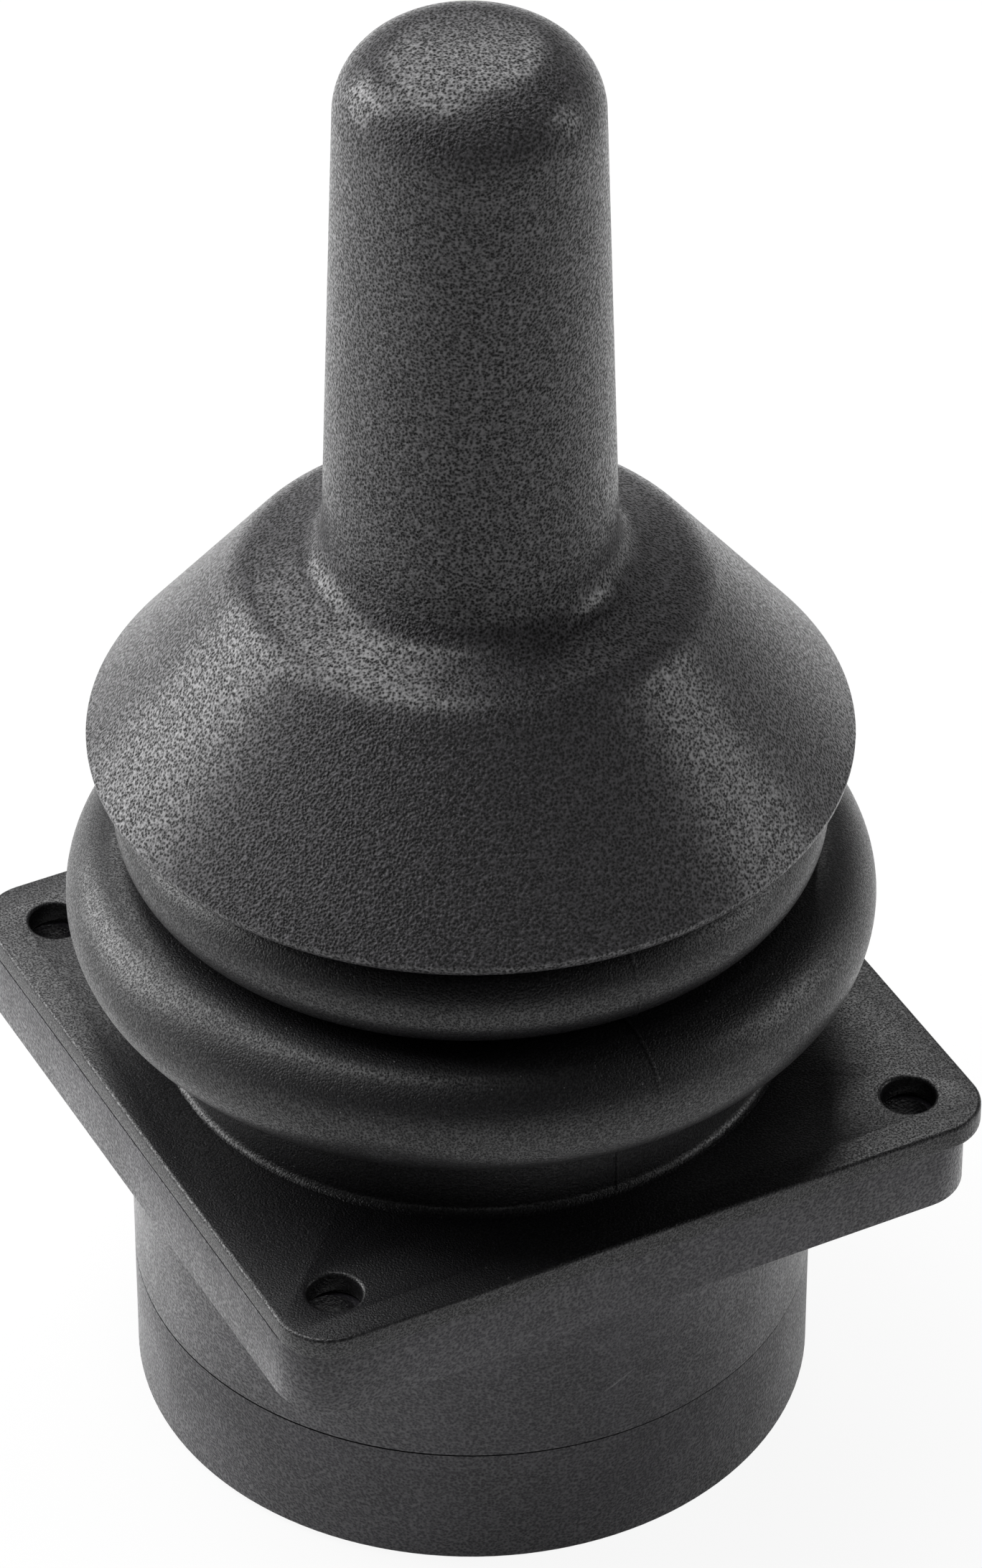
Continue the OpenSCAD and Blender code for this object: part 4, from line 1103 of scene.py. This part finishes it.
class JOYSTICK_OT_boot(bpy.types.Operator):
    """Build the rubber boot, in two halves that meet in the crease between the rolls"""

    bl_idname = "joystick.boot"
    bl_label = "Boot"

    def execute(self, context):
        s = context.scene.joystick.boot
        hole_r = context.scene.joystick.housing.hole_d / 2
        low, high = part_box("boot")
        sheet_z, face_z = low.z, low.z + s.sheet_t
        collar_r, collar_in = s.collar_d / 2, s.collar_d / 2 - s.wall
        lower_out, upper_out = boot_path(s, 0)
        lower_in, upper_in = boot_path(s, s.wall)
        foot_r = collar_r + s.foot_fillet
        foot_arc = arc((foot_r, face_z + s.foot_fillet), s.foot_fillet, 270, 180, 8)
        # the collar is sunk into the sheet, and both are one moulding
        skin = [(foot_r + 0.4 * MM, face_z - 0.2 * MM)] + foot_arc + lower_out
        under = sheet_z + 0.1 * MM
        lower = skin + lower_in[::-1]
        lower += bead(collar_in, s.collar_bead, s.bead_h, face_z + 0.6 * MM)
        lower += [(collar_in, under), (foot_r, under), skin[0]]
        upper = upper_out + bead(s.neck_r - s.wall, s.neck_bead, s.bead_h, high.z - s.bead_h)
        upper += upper_in[:-1][::-1] + [upper_out[0]]
        rubber = boot_rubber()
        boot_lower = turned("boot_lower", lower, s.facets, rubber)
        boot_upper = turned("boot_upper", upper, s.facets, rubber)
        holes = [(x, y, hole_r, 40) for x, y in hole_places()]
        sheet = square_plate(
            "rubber_sheet", s.sheet_w, s.sheet_corner,
            holes + [(0, 0, collar_r - 0.5 * MM, 120)], s.sheet_t, s.sheet_edge, sheet_z,
        )
        joined(boot_lower, slipped(sheet, s), *[
            flash(foot_arc[3:] + lower_out, side, s) for side in (-1, 1)
        ])
        joined(boot_upper, *[flash(upper_out, side, s) for side in (-1, 1)])
        for half in (boot_lower, boot_upper):
            give(smooth(half), rubber)
            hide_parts("boot")
        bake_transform(boot_lower)
        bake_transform(boot_upper)
        return {"FINISHED"}


# ---------- housing ----------


def edge_share(middle, s, flange_top, holes):
    """How much of the rounding an edge gets: little at the seam, and none where a bolt hole
    meets the rubber."""
    if abs(middle.z - s.seam_z) < s.seam_zone:
        return s.seam_share
    if abs(middle.z - flange_top) < s.edge:
        if any(math.hypot(middle.x - x, middle.y - y) < s.hole_d for x, y in holes):
            return 0.0
    return 1.0


def close_seam(shape, s):
    """Brings the mouldings together at the seam. The gap left there is a hairline, and is
    widest at the left."""
    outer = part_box("lower_cover")[1].x - s.cover_edge
    for vertex in shape.verts:
        off, radius = vertex.co.z - s.seam_z, math.hypot(vertex.co.x, vertex.co.y)
        if radius > outer and abs(off) < s.seam_zone:
            gap = s.seam_w * (0.6 - 0.4 * vertex.co.x / radius)
            vertex.co.z = s.seam_z + (0.2 * gap if off > 0 else -0.8 * gap)


def rounded_copy(node_name, piece_name, radius, s):
    """A copy of a CAD node with its moulded edges rounded."""
    # faces that turn by less than the first angle are one face, by more than the second an edge
    one_face, real_edge = math.radians(0.6), math.radians(38)
    flange_top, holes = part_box("boot")[0].z, hole_places()
    shape = bmesh.new()
    shape.from_mesh(NODES[node_name].data)
    bmesh.ops.remove_doubles(shape, verts=shape.verts, dist=CAD_GRAIN)
    bmesh.ops.dissolve_limit(
        shape, angle_limit=one_face, verts=shape.verts, edges=shape.edges
    )
    close_seam(shape, s)
    weight = shape.edges.layers.float.new("bevel_weight_edge")
    for edge in shape.edges:
        if edge.calc_face_angle(0) > real_edge:
            middle = (edge.verts[0].co + edge.verts[1].co) / 2
            edge[weight] = edge_share(middle, s, flange_top, holes)
    piece = piece_from(piece_name, [])
    shape.to_mesh(piece.data)
    shape.free()
    bevel = piece.modifiers.new("Rounded edges", "BEVEL")
    bevel.width = radius
    bevel.segments = 3
    bevel.limit_method = "WEIGHT"
    bevel.miter_outer = "MITER_ARC"
    return smooth(finished(piece), 32)


class JOYSTICK_OT_housing(bpy.types.Operator):
    """Build the housing with its flange, and the cover under it"""

    bl_idname = "joystick.housing"
    bl_label = "Housing and cover"

    def execute(self, context):
        s = context.scene.joystick.housing
        for node_name, piece_name, edge, slot in (
            ("upper_housing", "housing_shell", s.edge, "housing_plastic"),
            ("lower_cover", "cover_shell", s.cover_edge, "cover_plastic"),
        ):
            piece = give(rounded_copy(node_name, piece_name, edge, s), FINISHES[slot]())
            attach(piece, "housing")
            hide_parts(node_name)
        return {"FINISHED"}


# ---------- spring, fasteners and the other inner parts ----------


class JOYSTICK_OT_spring(bpy.types.Operator):
    """Wind the return spring, in two lengths that meet at the split"""

    bl_idname = "joystick.spring"
    bl_label = "Return spring"

    def execute(self, context):
        s = context.scene.joystick.spring
        low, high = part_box("return_spring")
        middle = low.z + s.split * (high.z - low.z)
        for name, start, end, a, b, z0, z1 in (
            ("spring_lower", 0.0, s.split, "housing", "gimbal", low.z, middle),
            ("spring_upper", s.split, 1.0, "gimbal", "lever", middle, high.z),
        ):
            piece = grown(
                piece_from(name, [(0, 0, 0)]), spring_tree(), turns=float(s.turns),
                base_radius=s.base_r, top_radius=s.top_r, travel=high.z - low.z - s.wire_d,
                wire=s.wire_d, height=low.z + s.wire_d / 2, start=start, end=end, steps=110,
                material=FINISHES["spring_steel"](),
            )
            smooth(piece, 50)
            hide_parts("return_spring")
            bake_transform(piece)
        return {"FINISHED"}


def centres(node_name, how_many):
    """Middle of each separate solid of a CAD node, found by joining the vertices that touch."""
    shape = bmesh.new()
    shape.from_mesh(NODES[node_name].data)
    bmesh.ops.remove_doubles(shape, verts=shape.verts, dist=CAD_GRAIN)
    left, found = set(shape.verts), []
    while left:
        group, front = set(), [next(iter(left))]
        while front:
            vertex = front.pop()
            if vertex not in group:
                group.add(vertex)
                front += [edge.other_vert(vertex) for edge in vertex.link_edges]
        left -= group
        x, y = [v.co.x for v in group], [v.co.y for v in group]
        found.append(((min(x) + max(x)) / 2, (min(y) + max(y)) / 2))
    shape.free()
    if len(found) != how_many:
        raise RuntimeError(f"{node_name} has {len(found)} solids and not {how_many}")
    return sorted(found)


class JOYSTICK_OT_screws(bpy.types.Operator):
    """Put in the four kinds of screws"""

    bl_idname = "joystick.screws"
    bl_label = "Screws"

    def execute(self, context):
        s = context.scene.joystick.fasteners
        for node_name, thread, how_many, over in (
            ("cover_screws", s.cover_d, 4, 0.0), ("gate_screws", s.small_d, 4, 1.0),
            ("cap_screws", s.small_d, 4, 0.0), ("board_screws", s.small_d, 3, 1.0),
        ):
            low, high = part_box(node_name)
            head = thread * s.head_height
            seat = high.z - head if over else low.z + head
            places = [(x, y, seat) for x, y in centres(node_name, how_many)]
            piece = grown(
                piece_from(node_name + "_set", places), screw_tree(), thread_diameter=thread,
                shank_length=high.z - low.z - head, head_diameter=thread * s.head_ratio,
                head_height=head, pitch=thread * s.pitch_share, turned_over=over,
                material=FINISHES["screw_steel"](),
            )
            smooth(piece, 40)
            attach(piece, "housing")
            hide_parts(node_name)
        return {"FINISHED"}


class JOYSTICK_OT_contacts(bpy.types.Operator):
    """Put the contact pins into the socket"""

    bl_idname = "joystick.contacts"
    bl_label = "Contact pins"

    def execute(self, context):
        low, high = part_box("connector_pins")
        places = [(x, y, low.z) for x, y in centres("connector_pins", 6)]
        piece = grown(
            piece_from("contact_pin_row", places), pin_tree(),
            width=context.scene.joystick.fasteners.pin_w, pin_length=high.z - low.z,
            material=FINISHES["contact_metal"](),
        )
        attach(piece, "housing")
        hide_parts("connector_pins")
        return {"FINISHED"}


class JOYSTICK_OT_inner_parts(bpy.types.Operator):
    """Give the lever, gimbal, bearings and electronics their finishes"""

    bl_idname = "joystick.inner_parts"
    bl_label = "Inner parts"

    def execute(self, context):
        for part in NODES.values():
            for slot in part.material_slots:
                slot.material = FINISHES[slot.material.name.split(".")[0]]()
        return {"FINISHED"}


# ---------- stage ----------


# share of plain white in the floor, as the camera sees it and as glossy surfaces mirror it
WHITE_SEEN, WHITE_MIRRORED = 0.92, 0.32
# the camera: degrees about the lever and above the floor, metres from the point it looks at
VIEW_TURN, VIEW_RISE, VIEW_FAR = -27.4, 38.4, 0.6117
AIM = Vector((0.00138, -0.00071, 0.0569))
# lamps: metres to the right of the middle, behind it and above it, width, height and watts
LAMPS = {
    "left_softbox": (-0.80, 0.35, 0.24, 0.6, 0.5, 6.0),
    "left_high_softbox": (-0.75, 0.20, 0.60, 0.5, 0.5, 3.4),
    "back_softbox": (-0.10, 0.60, 0.75, 0.7, 0.6, 6.0),
    "top_softbox": (-0.30, 0.10, 0.95, 0.6, 0.6, 5.5),
    "right_softbox": (0.95, 0.05, 0.30, 0.4, 0.5, 2.0),
}


@finish("studio floor")
def floor_material(tree, shader):
    """Pale floor that looks white and keeps the shadow. From below it is clear."""
    tree.nodes.remove(shader)
    cloth = node(tree, "ShaderNodeBsdfDiffuse", {"Color": (*colours().floor, 1)})[0]
    glow = node(tree, "ShaderNodeEmission", {"Color": (1, 1, 1, 1), "Strength": 1.0})[0]
    ray = node(tree, "ShaderNodeLightPath")
    seen = maths("MAXIMUM", ray["Is Camera Ray"], ray["Is Transmission Ray"]) * WHITE_SEEN
    white = maths("MAXIMUM", seen, ray["Is Glossy Ray"] * WHITE_MIRRORED)
    mix = node(tree, "ShaderNodeMixShader", {0: white, 1: cloth, 2: glow})[0]
    clear = node(tree, "ShaderNodeBsdfTransparent")[0]
    back = node(tree, "ShaderNodeNewGeometry")["Backfacing"]
    both = node(tree, "ShaderNodeMixShader", {0: back, 1: mix, 2: clear})[0]
    join(both, next(n for n in tree.nodes if n.type == "OUTPUT_MATERIAL").inputs["Surface"])


class JOYSTICK_OT_stage(bpy.types.Operator):
    """Set up the floor, the soft lamps and the camera"""

    bl_idname = "joystick.stage"
    bl_label = "Stage"

    def execute(self, context):
        scene = context.scene
        flat, bend = 1.9, 0.3
        sweep = [(0, 0), (flat, 0)] + arc((flat, bend), bend, 270, 360) + [(flat + bend, 0.4)]
        floor = turned("studio_floor", sweep, 96, floor_material())
        with edited(floor.data) as shape:
            bmesh.ops.reverse_faces(shape, faces=shape.faces)
        smooth(floor, 60)
        turn, rise = math.radians(VIEW_TURN), math.radians(VIEW_RISE)
        right = Vector((math.cos(turn), math.sin(turn), 0))
        away = Vector((-math.sin(turn), math.cos(turn), 0))
        up, middle = Vector((0, 0, 1)), Vector((0, 0, 0.06))
        for name, (side, depth, height, width, tall, watts) in LAMPS.items():
            lamp = bpy.data.lights.new(name, "AREA")
            lamp.shape = "RECTANGLE"
            lamp.size, lamp.size_y, lamp.energy = width, tall, watts
            made = linked(name, lamp)
            made.location = middle + right * side + away * depth + up * height
            made.rotation_euler = (middle - made.location).to_track_quat("-Z", "Y").to_euler()
        scene.world = bpy.data.worlds.new("studio air")
        scene.world.use_nodes = True
        air = scene.world.node_tree.nodes["Background"].inputs
        air["Color"].default_value = (1, 1, 1, 1)
        air["Strength"].default_value = 0.03
        lens = bpy.data.cameras.new("camera")
        lens.lens, lens.sensor_width = 181.8, 36.0
        lens.clip_start, lens.clip_end = 0.01, 20.0
        camera = linked("camera", lens)
        back = up * math.sin(rise) - away * math.cos(rise)
        camera.location = AIM + back * VIEW_FAR
        camera.rotation_euler = (-back).to_track_quat("-Z", "Y").to_euler()
        scene.camera = camera
        scene.view_settings.view_transform = "Standard"
        return {"FINISHED"}


# ---------- panel and main ----------


STEPS = (
    JOYSTICK_OT_stage, JOYSTICK_OT_inner_parts, JOYSTICK_OT_grip, JOYSTICK_OT_boot,
    JOYSTICK_OT_housing, JOYSTICK_OT_spring, JOYSTICK_OT_screws, JOYSTICK_OT_contacts,
)


class JOYSTICK_PT_panel(bpy.types.Panel):
    """Sizes, colours and steps of the joystick"""

    bl_label = "Joystick"
    bl_idname = "JOYSTICK_PT_panel"
    bl_space_type = "VIEW_3D"
    bl_region_type = "UI"
    bl_category = "Joystick"

    def draw(self, context):
        settings = context.scene.joystick
        for name, group in GROUPS.items():
            box = self.layout.box()
            box.label(text=name.capitalize())
            for field in group.__annotations__:
                box.prop(getattr(settings, name), field)
        for step in STEPS:
            self.layout.operator(step.bl_idname)


CLASSES = (*GROUPS.values(), JoystickSettings, *STEPS, JOYSTICK_PT_panel)


def register():
    for made in CLASSES:
        bpy.utils.register_class(made)
    bpy.types.Scene.joystick = bpy.props.PointerProperty(type=JoystickSettings)


def unregister():
    del bpy.types.Scene.joystick
    for made in reversed(CLASSES):
        bpy.utils.unregister_class(made)


def main():
    """Builds the joystick."""
    register()
    for step in STEPS:
        group, operator = step.bl_idname.split(".")
        if getattr(getattr(bpy.ops, group), operator)() != {"FINISHED"}:
            raise RuntimeError(f"{step.bl_label} could not finish")


if __name__ == "__main__":
    main()
